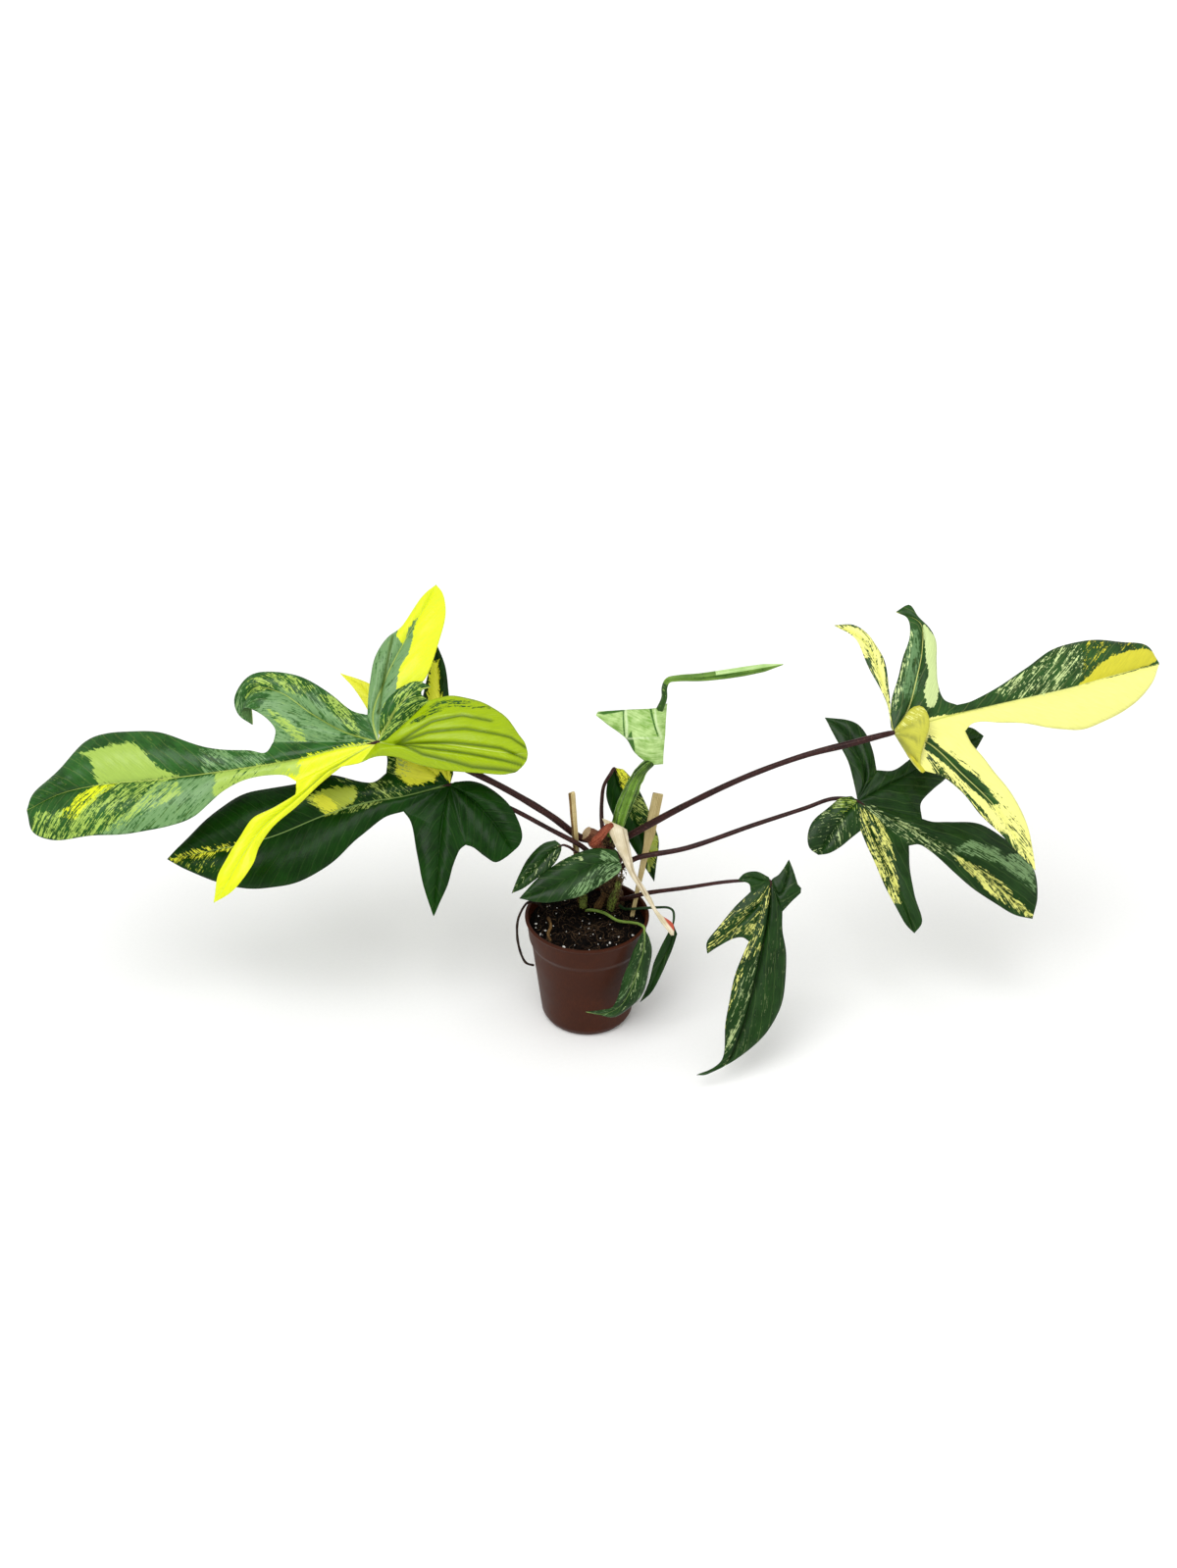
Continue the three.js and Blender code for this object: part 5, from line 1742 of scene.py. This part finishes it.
LEAVES = [
    Leaf(
        "upper_left", Sheet((-177, 15, 276), -8, 50, 196, (3, 5)), LEMON_SKIN, "leaf_lime",
        Stalk("10 27 167, -6 26 171, -13 24 178, -33 20 199, -83 20 234, -132 21 259, -165 22 271",
              (3.6, 2.4), STALK_SKIN),
        ["-3 -10", "5 -26", "88 -19", "73 20", "16 15", "-17 -1 1, -29 -13 2, -49 -28 2",
         "-4 -7 2"],
        [Lobe("upright", 18, "-69 -139 -4", "0 -26, -16 -58, -35 -87, -56 -116",
              "-9 -20, -21 -31, -35 -40, -49 -50, -65 -83, -74 -107, -74 -127",
              "-1 -55, -9 -78, -21 -94, -35 -102, -56 -128",
              furrows=["-5 -25, -11 -49, -20 -74, -26 -93"]),
         Lobe("curled", 16, "108 -46 -18", "27 -15, 52 -37, 77 -63, 100 -72",
              "17 -32, 35 -53, 60 -75, 83 -84, 100 -85, 111 -78, 119 -68 -6, 118 -56 -14",
              "85 -29, 90 -40, 99 -49 2, 109 -56, 114 -56 -8"),
         Lobe("terminal", 42, "314 -11", "38 -1, 65 1, 136 -3, 193 -9, 245 -17, 283 -18",
              "96 -11, 110 -16, 146 -27, 189 -52, 234 -62, 255 -60, 279 -41, 306 -25",
              "83 12, 113 9, 136 14, 164 31, 187 34, 220 33, 254 27, 294 21, 310 10"),
         Lobe("strap", 14, "159 106 -6", "29 11, 51 21, 77 37, 105 52, 127 73, 145 95",
              "76 32, 92 38, 113 45 3, 134 65, 150 85",
              "23 11, 39 18, 72 39, 98 55, 113 68 -3, 120 83, 138 100"),
         Lobe("domed", 22, "-123 32 -2", "-16 7 3, -46 13 10, -86 26 10, -109 32 6",
              "2 13 2, -14 17 2, -30 26 2, -57 37 1, -85 44, -104 47.5, -115 44.5, -121 39",
              "-69 -29, -92 -19, -109 -4, -119 16, -122.5 24",
              furrows=["-17 6, -49 -6, -74 -7, -98 1", "-18 6, -44 3, -76 6, -112 18, -122 27",
                       "-17 6, -38 11, -63 16, -102 27, -120 37", "-16 6, -38 16, -72 27, -116 42",
                       "-16 5, -37 21, -76 38, -113 47"], furrow_depth=2.2),
         Lobe("striped", 14, "-53 -37 10", "-12 -12 6, -25 -25 12, -41 -34 14",
              "-44 -32 8, -46 -35 12",
              "-5 -12 8, -12 -27 13, -27 -38 16, -42 -42 16")],
        # The greyish green patches on the upright, curled and terminal lobes are painted sheen:
        # the wax's broad reflection laid into the colour.
        [Patch(YELLOW, "strap"),
         Patch(LIME, "domed"),
         Patch(GREY, "curled", cover=0.25),
         Patch(LIME, "strap", "60 25, 120 60, 150 95, 140 100, 100 62, 60 38", 0.45),
         Patch(GREY, "upright", cover=0.85),
         Patch(PALE, "striped", cover=0.36),
         Patch(YELLOW, "terminal", "-6 -1, 30 -2, 60 0, 80 1, 92 8, 80 24, 60 22, 20 10, 0 4"),
         Patch(PALE, "terminal", "258 -49, 246 -48, 235 -48, 226 -47, 223 -48, 213 -48, 206 -42, "
               "196 -26, 186 -16, 174 -8, 207 -11, 245 -17, 249 -30, 248 -40, 255 -46"),
         Patch(YELLOW, "terminal", "247 -17, 229 -14, 236 -8, 246 -6, 248 -1, 260 4, 268 11, "
               "276 8, 285 4, 272 -3, 269 -9, 260 -12", 0.64),
         Patch(GREY, "terminal", "194 -6, 137 1, 139 15, 153 27, 181 34, 234 32, 249 26, "
               "214 13", 0.8),
         Patch(PALE, "terminal", "236 -13, 176 -6, 173 9, 205 19, 237 25, 278 26, 311 11, 305 -5, "
               "285 0, 265 7", 0.43),
         Patch(GREY, "terminal", "152 -26, 105 -14, 93 -5, 107 -1, 150 -5", 0.4),
         Patch(PALE, "terminal", "141 -2, 68 1, 70 15, 89 12, 111 15, 130 17, 146 17, "
               "142 7", 0.92),
         Patch(YELLOW, "upright", "-68 -144, -81 -126, -76 -91, -62 -61, -50 -48, -36 -46, "
               "-23 -43, -26 -56, -31 -66, -38 -74, -42 -85, -45 -97, -49 -108, -41 -99, -33 -85, "
               "-29 -94, -33 -103, -43 -116, -56 -134", ragged=1.5),
         Patch(GREY, "curled", "77 -69, 49 -48, 25 -20, 13 5, 35 9, 66 2, 96 -13, 101 -46", 0.75),
         Patch(PALE, "curled", "102 -79, 84 -81, 63 -73, 48 -60, 59 -55, 81 -70, 108 -66", 0.36),
         Patch(PALE, "curled", "88 -48, 78 -39, 67 -25, 52 -4, 66 -1, 72 -21, 81 -33", 0.55),
         Patch(PALE, "curled", "42 -51, 30 -46, 17 -28, 15 -11, 23 -18, 30 -30", 0.5),
         Patch(DEEP, "domed", "-32 -8, -56 -24, -86 -21, -97 -13, -83 -13, -63 -18, "
               "-43 -10", 0.42)],
        flecks=-0.02, columns=30),
    Leaf(
        "lower_left", Sheet((-118, 22, 229), -4, 47, 197, (3, 4)), DARK_SKIN, "leaf_green",
        Stalk("14 28 152, 6 25 153, 0 19 162, -7 11.5 173.6, -33 9 192, -63 14 208, -92 24 217, "
              "-112 28 223", (2.5, 1.8), STALK_SKIN),
        ["-5 -8", "21 -56", "51 -24", "44 13", "-1 55", "-5 -1"],
        [Lobe("upright", 20, "-17 -131", "-1 -27, -6 -58, -11 -89, -14 -112",
              "-12 -51, -17 -77, -20 -106",
              "7 -80, -5 -105", light_rib=False),
         Lobe("spike", 25, "71 -125", "26 -34, 40 -70, 54 -105",
              "32 -84, 47 -107",
              "47 -38, 50 -64, 55 -87, 62 -107", light_rib=False),
         Lobe("terminal", 46, "255 -4 -4", "42 0, 71 -3, 110 -2, 163 4, 224 0",
              "64 -19, 101 -36, 132 -36, 172 -40, 198 -34, 231 -17",
              "61 14, 86 25, 118 42, 141 48, 164 48, 198 39, 237 13"),
         Lobe("hanging", 28, "40 107 -3", "11 24, 20 48, 31 80",
              "40 23, 41 53, 42 79",
              "5 58, 13 69, 23 86", light_rib=False),
         Lobe("rear", 45, "-39 70 -2", "-15 17, -30 45",
              "-7 59, -15 69, -22 76, -31 74",
              "-19 2, -31 10, -46 32, -50 58, -46 66", light_rib=False)],
        [Patch(YELLOW, "upright spike terminal", "6 -34, 38 -36, 44 -22, 34 -7, 12 -6, 2 -18"),
         Patch(YELLOW, "spike", "28 -45, 60 -45, 90 -140, 40 -140"),
         Patch(LIME, "terminal", "125 -21, 103 -23, 79 -20, 77 -12, 85 -5, 100 -1, 110 -2, "
               "116 -12"),
         Patch(YELLOW, "terminal", "122 -20, 108 -19, 98 -7, 99 -2, 109 -4, 116 -14"),
         Patch(PALE, "terminal", "93 -30, 71 -20, 48 -15, 40 -8, 33 -2, 57 -1, 89 2, 101 -1, "
               "77 -12", 0.32),
         Patch(PALE, "spike", "45 -35, 32 -36, 28 -7, 41 -4, 52 -15", 0.35),
         Patch(YELLOW, "terminal", "252 -4, 223 -3, 192 1, 195 5, 220 4, 246 1", 0.45),
         Patch(LIME, "terminal", "244 1, 212 7, 212 20, 231 14", 0.25),
         Patch(YELLOW, "upright", "36 -28, 30 -7, 20 -1, 1 0, -5 -17, 0 -32, -7 -62, -16 -112, "
               "-9 -113, 6 -65")]),
    Leaf(
        "upper_right", Sheet((259, 18, 284), 8, 50, 10, (3, 5)), CREAM_SKIN, "leaf_pale",
        Stalk("18 28 160, 27 28 165, 40 26 175, 86 22 208, 136 20 238, 185 18 261, 225 20 272, "
              "250 23 278", (3.5, 3.3, 3.0, 2.7, 2.6, 3.2, 2.5), STALK_SKIN),
        ["3 3 5", "15 -39", "60 -14", "61 10", "2 16", "-1 5"],
        [Lobe("flap", 25, "10 -39 2", "1 -9 3, 3 -22 5, 6 -30 3",
              "10 8 9, 17 13 14, 24 12 17, 27 4 18, 26 -6 15, 19 -17 10, 13 -28 5",
              "13 -40",
              furrows=["-2 -1, 9 -1, 22 0", "-2 -1, 7 -9, 14 -16", "-2 -1, 2 -12, 5 -24",
                       "-1 -2, 3 -14, 9 -30"], furrow_depth=0.9),
         Lobe("strap", 8, "83 -142 -4", "24 -15, 45 -49, 65 -85, 76 -123",
              "29 -48, 39 -63, 50 -87, 62 -108, 74 -129",
              "62 -26, 70 -46, 79 -69, 85 -89, 86 -107, 85 -123"),
         Lobe("terminal", 34, "258 8 -4", "21 1, 44 2, 107 2, 164 2, 215 5",
              "69 -9, 94 -14, 120 -22, 144 -32, 164 -36, 187 -33, 218 -24, 241 -10",
              "74 10, 102 17, 133 28, 162 39, 194 41, 229 33, 251 24"),
         Lobe("hooked", 8, "42 108 -8", "17 15, 36 43, 50 68, 56 90",
              "52 17, 51 32, 57 51, 63 70, 62 84, 57 98 -2, 54 110 -4",
              "8 29, 21 48, 31 64, 42 79, 47 92, 47 100 -3"),
         Lobe("slim", 8, "-16 108 -4", "3 22, 5 53, 3 84",
              "6 29, 13 62, 12 76, 7 92, -2 103",
              "3 27, -2 59, -3 87, -9 98")],
        [Patch(YELLOW, "strap"),
         Patch(LIME, "flap"),
         Patch(YELLOW, "flap", "-4 -4, 8 4, 22 12, 27 6, 10 0", 0.4),
         Patch(DEEP, "strap", "27 -10, 40 -30, 58 -56, 73 -86, 82 -114, 85 -136, 79 -132, "
               "68 -102, 57 -80, 44 -60, 32 -40, 20 -22", 0.22),
         # Painted highlight: the greyish green patch down the hooked lobe is its glossy reflection
         # laid into the colour.
         Patch(GREY, "hooked", "20 22, 30 30, 44 60, 50 84, 44 84, 30 56, 18 34", 0.6),
         Patch(YELLOW, "terminal strap", "27 5, 68 2, 139 2, 171 2, 220 4, 257 7, 253 -12, "
               "223 -30, 200 -38, 162 -38, 128 -29, 101 -19, 78 -15, 61 -18, 29 -7", ragged=1.5),
         Patch(LIME, "terminal", "169 2, 182 6, 199 17, 220 22, 244 23, 257 18, 256 10, 223 5, "
               "194 3", ragged=1.5),
         Patch(PALE, "terminal", "99 12, 129 24, 166 38, 189 39, 178 13, 165 3, 120 2", 0.3),
         Patch(LIME, "terminal", "185 38, 202 40, 247 29, 254 22, 221 22, 195 16, 172 5", 0.14),
         Patch(DEEP, "strap", "27 -10, 33 -21, 47 -42, 61 -63, 68 -82, 61 -81, 48 -65, 37 -45, "
               "27 -31, 20 -21", ragged=1.5),
         Patch(DEEP, "strap", "18 -22, 31 -44, 44 -67, 57 -92, 68 -112, 81 -136, 79 -143, "
               "63 -118, 48 -93, 33 -64, 22 -41", 0.58, 2),
         Patch(GREY, "strap", "59 -77, 70 -85, 75 -101, 80 -118, 79 -132, 68 -112, 58 -92", 0.8),
         Patch(PALE, "hooked", "58 88, 64 74, 59 50, 50 27, 40 13, 34 13, 36 27, 45 41, "
               "51 64", ragged=1.5),
         Patch(PALE, "hooked", "43 89, 44 79, 30 57, 16 32, 8 19, 7 25, 22 56", 0.22),
         Patch(YELLOW, "slim", "-18 108, 6 97, 12 81, 11 58, 7 41, 1 6, 2 33, 1 58, -3 81, "
               "-7 95", 0.72)]),
    Leaf(
        "lower_right", Sheet((236, 34, 204), 6, 46, 322, (3, 4)), GREEN_SKIN, "leaf_green",
        Stalk("18 28 138, 29 24 141, 44 22 152, 87 24 161, 147 30 182, 190 36 195, 216 41 202",
              (2.6, 1.8), STALK_SKIN),
        ["-7 0 2", "16 -21", "58 -8", "55 19", "-1 33", "-3 3"],
        [Lobe("round", 45, "-3 -59 -3", "-3 -16, -4 -36",
              "-14 -7 3, -18 -19, -23 -38, -20 -51, -13 -59",
              "12 -33, 9 -43, 4 -53", light_rib=False),
         Lobe("hanging", 3, "103 -69 -3", "25 -18, 53 -35, 86 -57",
              "46 -41, 70 -56, 91 -67",
              "69 -24, 84 -41, 103 -58", light_rib=False),
         Lobe("terminal", 9, "183 2 -3", "13 1, 52 7, 92 12, 122 11, 158 6",
              "65 -2, 79 -1, 103 -5, 125 -7, 147 -7, 167 -5",
              "64 22, 77 31, 101 45, 135 46, 161 39, 176 20", light_rib=False),
         Lobe("upper", 35, "62 117 -2", "12 23, 26 49, 41 85",
              "47 30, 49 46, 53 60, 56 76, 62 97",
              "11 41, 18 58, 25 85, 38 108, 49 116", light_rib=False),
         Lobe("rear", 20, "-64 49 -3", "-7 24, -25 39, -45 48",
              "-13 46, -24 55, -36 59, -47 57",
              "-23 23, -37 32, -52 41", light_rib=False)],
        [Patch(PALE, "round", cover=0.13),
         Patch(YELLOW, "hanging", "5 -5, 13 -3, 34 -19, 60 -36, 78 -54, 73 -58, 57 -48, 36 -34, "
               "14 -19", 0.42),
         Patch(YELLOW, "hanging", "12 3, 19 3, 40 -14, 53 -27, 48 -27, 33 -16", 0.38),
         Patch(GREY, "terminal", "93 12, 102 26, 125 34, 131 30, 146 46, 159 43, 171 23, 146 23, "
               "131 25, 113 19", 0.55),
         Patch(YELLOW, "terminal", "95 6, 119 11, 139 11, 162 8, 182 3, 161 -2, 132 -1, "
               "114 1", 0.5),
         Patch(PALE, "terminal", "1 1, 52 8, 91 11, 98 5, 67 0, 55 -4, 15 -4", 0.3),
         Patch(LIME, "round", "-23 -19, -16 -4, -1 2, 4 -4, -11 -22", 0.35)],
        flecks=-0.06),
    Leaf(
        "front_right", Sheet((159, -16, 154), 5, 34, 253, (2, 5)), GREEN_SKIN, "leaf_green",
        Stalk("26 29 102, 34 19 110, 43 12 118, 53 8 124, 87 -2 137, 120 -10 149, 141 -12 152",
              (2.4, 1.3), STALK_SKIN),
        ["-3 -3", "13 -15", "55 -6", "23 16", "-3 1"],
        [Lobe("rear", 40, "6 -28 -1", "1 -9, 1 -18",
              "-5 -14, -1 -24",
              "7 -18", light_rib=False),
         Lobe("side", 5, "74 -38 -3", "20 -5, 40 -17, 61 -29",
              "31 -26, 50 -35, 65 -41",
              "53 -12, 56 -20, 66 -31", light_rib=False),
         Lobe("terminal", 8, "178 -21 -1", "28 5, 79 8, 124 8, 160 2",
              "81 -10, 102 -10, 128 -8, 159 -3, 168 -8, 174 -15",
              "39 20, 57 28, 80 33, 103 35, 126 29, 145 18, 161 4, 170 -6, 176 -14",
              furrows=["3 1, 28 5, 79 8, 124 8, 158 3"], furrow_depth=0.5, light_rib=False),
         Lobe("upright", 40, "-22 11 -2", "9 10, -4 13",
              "12 22, 1 28, -3 23, -10 19",
              "-7 5", light_rib=False)],
        [Patch(YELLOW, "terminal", "2 2, 32 0, 59 3, 72 -5, 92 -7, 126 -9, 134 -8, 118 -13, "
               "87 -13, 64 -7, 51 -8, 34 -8, 9 -3", 0.27),
         Patch(YELLOW, "side", "5 -1, 22 -17, 39 -28, 58 -35, 70 -38, 65 -26, 47 -18, 49 -6, "
               "32 0", 0.25),
         Patch(PALE, "terminal", "72 4, 96 4, 132 2, 163 1, 137 -3, 98 -3", 0.24)],
        flecks=-0.02),
    Leaf(
        "back", Sheet((24, 66, 218), 4, 6, 287, (2, 6)), DARK_SKIN, "leaf_green",
        Stalk("15 30 166, 13 41 178, 13 50 193, 15 56 206, 21 60 216", (2, 1.4), STALK_SKIN),
        ["11 -10", "4 7"],
        [Lobe("blade", 26, "126 0 -3", "14 -2, 45 0, 84 2",
              "25 -15, 43 -15, 70 -10, 97 -5",
              "11 10, 26 14, 45 16, 69 17, 85 16, 105 8", light_rib=False)],
        [Patch(YELLOW, "blade", "-1 1, 4 8, 14 10, 17 7, 25 0, 14 1", 0.8),
         Patch(PALE, "blade", "15 10, 38 18, 56 15, 75 17, 107 6, 110 -1, 80 7, 61 5, 51 0, "
               "34 8", 0.42),
         Patch(DEEP, "blade", "-1 1, 4 8, 14 10, 17 7, 25 0, 14 1", 0.3),
         Patch(LIME, "blade", "72 11, 79 17, 99 10, 112 -1, 94 1", 0.8, 3)]),
    Leaf(
        "small_left", Sheet((-22, 4, 178), -10, 44, 230, (2, 8)), GREEN_SKIN, "leaf_green",
        Stalk("15 25 149, 6 18 154, -2 14 160.6, -9 8 167.6, -16 6 175", (1.5, 1.1), STALK_SKIN),
        ["1 -7", "3 3"],
        [Lobe("blade", 28, "60 0 -2", "11 -3, 29 -3, 46 -2",
              "10 -12, 29 -12, 46 -6",
              "9 6, 23 8, 38 6, 50 4", light_rib=False)],
        [Patch(PALE, "blade", "-1 0, 2 3, 11 7, 37 5, 58 1, 37 -4, 14 -2", 0.2)],
        flecks=-0.08),
    Leaf(
        "small_front", Sheet((29, -4, 166), 4, 50, 198, (3, 8)), GREEN_SKIN, "leaf_green",
        Stalk("15 26 162, 22 16 165, 27 6 166", (1.9, 1.4), STALK_SKIN),
        ["0 -11", "1 5"],
        [Lobe("blade", 30, "93 -1 -2", "18 -6, 47 -3, 72 -1",
              "11 -17, 20 -20, 36 -20, 52 -18, 73 -11",
              "4 8, 21 13, 46 16, 70 12, 83 6", light_rib=False)],
        # Partly painted highlight: the greyish green patch at the base stands for glare on the wax
        # as well as the leaf's own greyish flecks.
        [Patch(GREY, "blade", "11 -13, -2 0, 8 11, 23 13, 48 16, 55 10, 36 5, 20 -2", 0.42),
         Patch(PALE, "blade", "55 -18, 45 -20, 30 -18, 32 -14, 47 -14", 0.15)],
        flecks=-0.05),
    Leaf(
        "over_rim", Sheet((50, -35, 117), 24, 10, 254, (2, 5)), GREEN_SKIN, "leaf_green",
        Stalk("-1 18 92, 0 16 99, 6 12 102, 15 7 103, 27 -3 102, 39 -14 108, 46 -26 115",
              (1.5, 1.3), GREEN_STALK, "petiole_green"),
        ["8 -3", "8 6"],
        [Lobe("blade", 10, "79 -41 2", "19 3, 38 2, 59 -1, 74 -7, 82 -21",
              "19 -6, 34 -9, 61 -12, 76 -15, 78 -26",
              "19 11, 38 13, 62 11, 77 1, 85 -10, 83 -25")],
        [Patch(GREY, "blade", cover=0.08),
         Patch(PALE, "blade", "9 -2, 9 3, 56 2, 78 -3, 77 -6, 40 -1", 0.13)],
        flecks=-0.2),
    Leaf(
        "narrow", Sheet((76, -8, 102), 12, 20, 242, (2, 5)), GREEN_SKIN, "leaf_green",
        Stalk("27 25 100, 33 16 101, 40 9 106, 50 6 109, 62 3 112, 72 1 113, 76 0 110",
              (1.4, 1), DARK_STALK),
        ["8 -1", "7 7"],
        [Lobe("blade", 10, "77 2 -1", "17 5, 37 5, 60 5",
              "25 -2, 39 -2, 58 2",
              "15 8, 29 9, 46 9, 66 7", light_rib=False)]),
]

LIMBS = [
    (Limb("crown_stub_cut", "crown_stub", "old_sheath_brown",
          "15 28 160, 7 27 169, -1 25.5 176", (8, 7.5, 6), rumple=0.06, cut=True),
     (OLD_BROWN, CUT_END)),
    (Limb("new_leaf_sheath_ribbed", "new_leaf_sheath", "new_growth",
          "19 28 166, 25 27 179, 31 25 201, 39 20 227, 47 13 250, 53 8 260",
          (6, 6.6, 7.8, 7.4, 6, 4.8), 0.8, 7, 0.11, 0.03, sides=72), (NEW_SHEATH,)),
    (Limb("old_red_sheath_ribbed", "old_red_sheath", "old_sheath_brown",
          "9 21 168, 6 14 172, 10 12 180, 15 14 186, 21 16 191",
          (4, 4.5, 4.2, 3), 0.85, 12, 0.07, 0.05, sides=72), (OLD_RED,)),
    (Limb("old_green_sheath_left_torn", "old_green_sheath_left", "old_sheath_green",
          "-4 22 88, -4 22 98, -3 24 109", (3.2, 3.4, 3.6), 0.8, 8, 0.08, 0.06,
          3.0, sides=48, reference=(0, 1, 0)), (OLD_GREEN,)),
    (Limb("old_brown_sheath_torn", "old_brown_sheath", "old_sheath_brown",
          "8 21 92, 10 19.5 102, 13 18.5 109, 15 18.5 115", (3.2, 3.4, 2), 0.8, 9, 0.1, 0.08,
          3.0, sides=48, reference=(0, 1, 0)), (OLD_FIBRE,)),
    (Limb("old_green_sheath_right_torn", "old_green_sheath_right", "old_sheath_green",
          "20 19 92, 22 18.5 106, 25 18.5 116, 28 19.5 127", (3.4, 3.6, 2.2), 0.8, 8, 0.08, 0.06,
          3.0, sides=48, reference=(0, 1, 0)), (OLD_GREEN,)),
    (Limb("aerial_root_loop", "aerial_root", "root",
          "-38 22 90, -42 18 103, -47 12 111, -53 4 116, -60 -2 106, -62 -5 90, -59 -6 68, "
          "-54 -5 56, -48 -4 53", (1.1, 1.1), rumple=0.08, sides=14), (ROOT_SKIN,)),
    (Limb("surface_root_length", "surface_root", "root",
          "-35 9 94, -34 4 99, -32 -8 99, -34 -20 99, -29 -31 95",
          (1.6, 1.2), rumple=0.1, sides=14), (OLD_FIBRE,)),
]

STAKES = [
    Stake("stake_left", (-4, 39, 56), (-13, 7, 230), 25, 2.8, "0 5.6, 80 5.2, 150 4, 176 3",
          (17, 29)),
    Stake("stake_right", (31, -2, 52), (62.3, 46, 204), 0, 2.8,
          "0 9.2, 36 9.8, 50 6.4, 84 4.4, 162 3"),
]

OPEN_LEAF = Strip(
    "new_leaf_blade", "new_leaf", "new_growth", Sheet((39, 22, 283), -8, 28, 8, (0, 0)),
    "-30 17 -4, -3 7 8, 16 -3 9, 27 -4",
    "-31 15 -4, -19 5, -6 -6 3, 1 -19 2, 13 -29 1, 23 -30 -4",
    "-29 18 -4, -3 18, 22 18, 30 21 -6",
    # The creases stand up, and the finish paints them pale: painted highlight along the fold
    # ridges.
    creases=[("-5 18, -4 5, -5 -5", 1.1), ("-4 -6, 9 -6, 23 -8", 0.6),
             ("20 18, 21 3, 24 -8", 0.6)],
    # The first, third and fourth areas are painted shade beside the folds; the second is a darker
    # band along the edge.
    areas=["0 1, -6 -6, -3 -13, 1 -20, 1 -10, 0 -3", "-31 17, -5 20, -5 17, -24 15",
           "-7.5 18, -6 18, -6 -4, -7.5 -4", "15 19, 17 19, 22 -6, 20.5 -6"],
)
DRY_SHEATH = Strip(
    "dry_sheath_strip", "dry_sheath", "dry_sheath", Sheet((24, 18, 191), 18, 36, 288, (3, 6)),
    "0 0 2, 19 -5 3, 44 -6 2, 73 -4 1, 110 0",
    "-9 -7 -3, 7 -8 -1, 25 -9, 45 -9, 72 -6, 94 -4, 110 -1",
    "10 8 -3, 20 4 -1, 34 -1, 46 -4, 71 -2, 87 -2, 102 5, 111 1",
    creases=[("2 -6, 6 -9", 0.7), ("7 4, 42 -6, 68 -5", 0.5)],
    areas=["84 1, 90 3, 104 8, 109 3, 100 1, 92 0"], crumple=0.3,
)


@dataclass
class Roll:
    """The new leaf's rolled half, with its dark neck and a pale strip along the upper front of its
    far end.

    Attributes:
        points, radii: its line and its radii, spread evenly along it, in millimetres.
        neck, pale: the row where the neck ends and the one where the pale strip starts.
        front: the column where the pale strip starts.
    """

    points: Points = ("61 28 299, 65 27 312, 65 27 322, 68 26 330, 77 26 332, 95 26 333, "
                      "120 27 336, 144 28 340, 163 28 344")
    radii: Sequence[float] = (3, 2.4, 2.4, 3, 3.6, 4, 4, 3.4, 0.5)
    neck: int = 34
    pale: int = 78
    front: int = 33

    def make(self, *materials: Material) -> None:
        """Builds the roll as a ribbed tube and sets it in place.

        Args:
            materials: the roll's, the neck's and the pale strip's.
        """
        path, radii = rounded(through(as_points(self.points), 130), spread(self.radii, 130), 0.5)
        whole = tube(path, radii, 40, 0.8, 5, 0.08, (0.2, 1, 0))
        grids = [Grid(whole.points[part], whole.flat[part], material=number)
                 for part, number in ((np.s_[:self.neck + 1], 1),
                                      (np.s_[self.neck:self.pale + 1], 0),
                                      (np.s_[self.pale:, :self.front + 1], 0),
                                      (np.s_[self.pale:, self.front:], 2))]
        settle(build_piece("new_leaf_roll", grids, materials), "new_growth", "new_leaf")


def main() -> None:
    """Builds the studio, the pot and the plant in order, and notes how big the result is."""
    Studio().make()
    Pot().make(POT_PLASTIC.make())
    PottingMix().make(PEAT.make(), BARK.make(), PERLITE.make(), SOIL_FIBRE.make())
    Stem().make(STEM_BARK.make(), ROOT_HAIR.make())
    for limb, finishes in LIMBS:
        limb.make(*(finish.make() for finish in finishes))
    for stake in STAKES:
        stake.make(CANE_FACE.make(), CANE_SHADED_SIDE.make())
    OPEN_LEAF.make(NEW_LEAF.make())
    Roll().make(ROLL_SKIN.make(), NECK_SKIN.make(), PALE_STRIP_SKIN.make())
    DRY_SHEATH.make(PAPER_SHEATH.make())
    skins = {skin: [skin.make(side) for side in Side]
             for skin in dict.fromkeys(leaf.skin for leaf in LEAVES)}
    stalks = {skin: skin.make() for skin in dict.fromkeys(leaf.stalk.skin for leaf in LEAVES)}
    for leaf in LEAVES:
        leaf.make_blade(*skins[leaf.skin])
        leaf.make_stalk(stalks[leaf.stalk.skin])


if __name__ == "__main__":
    main()
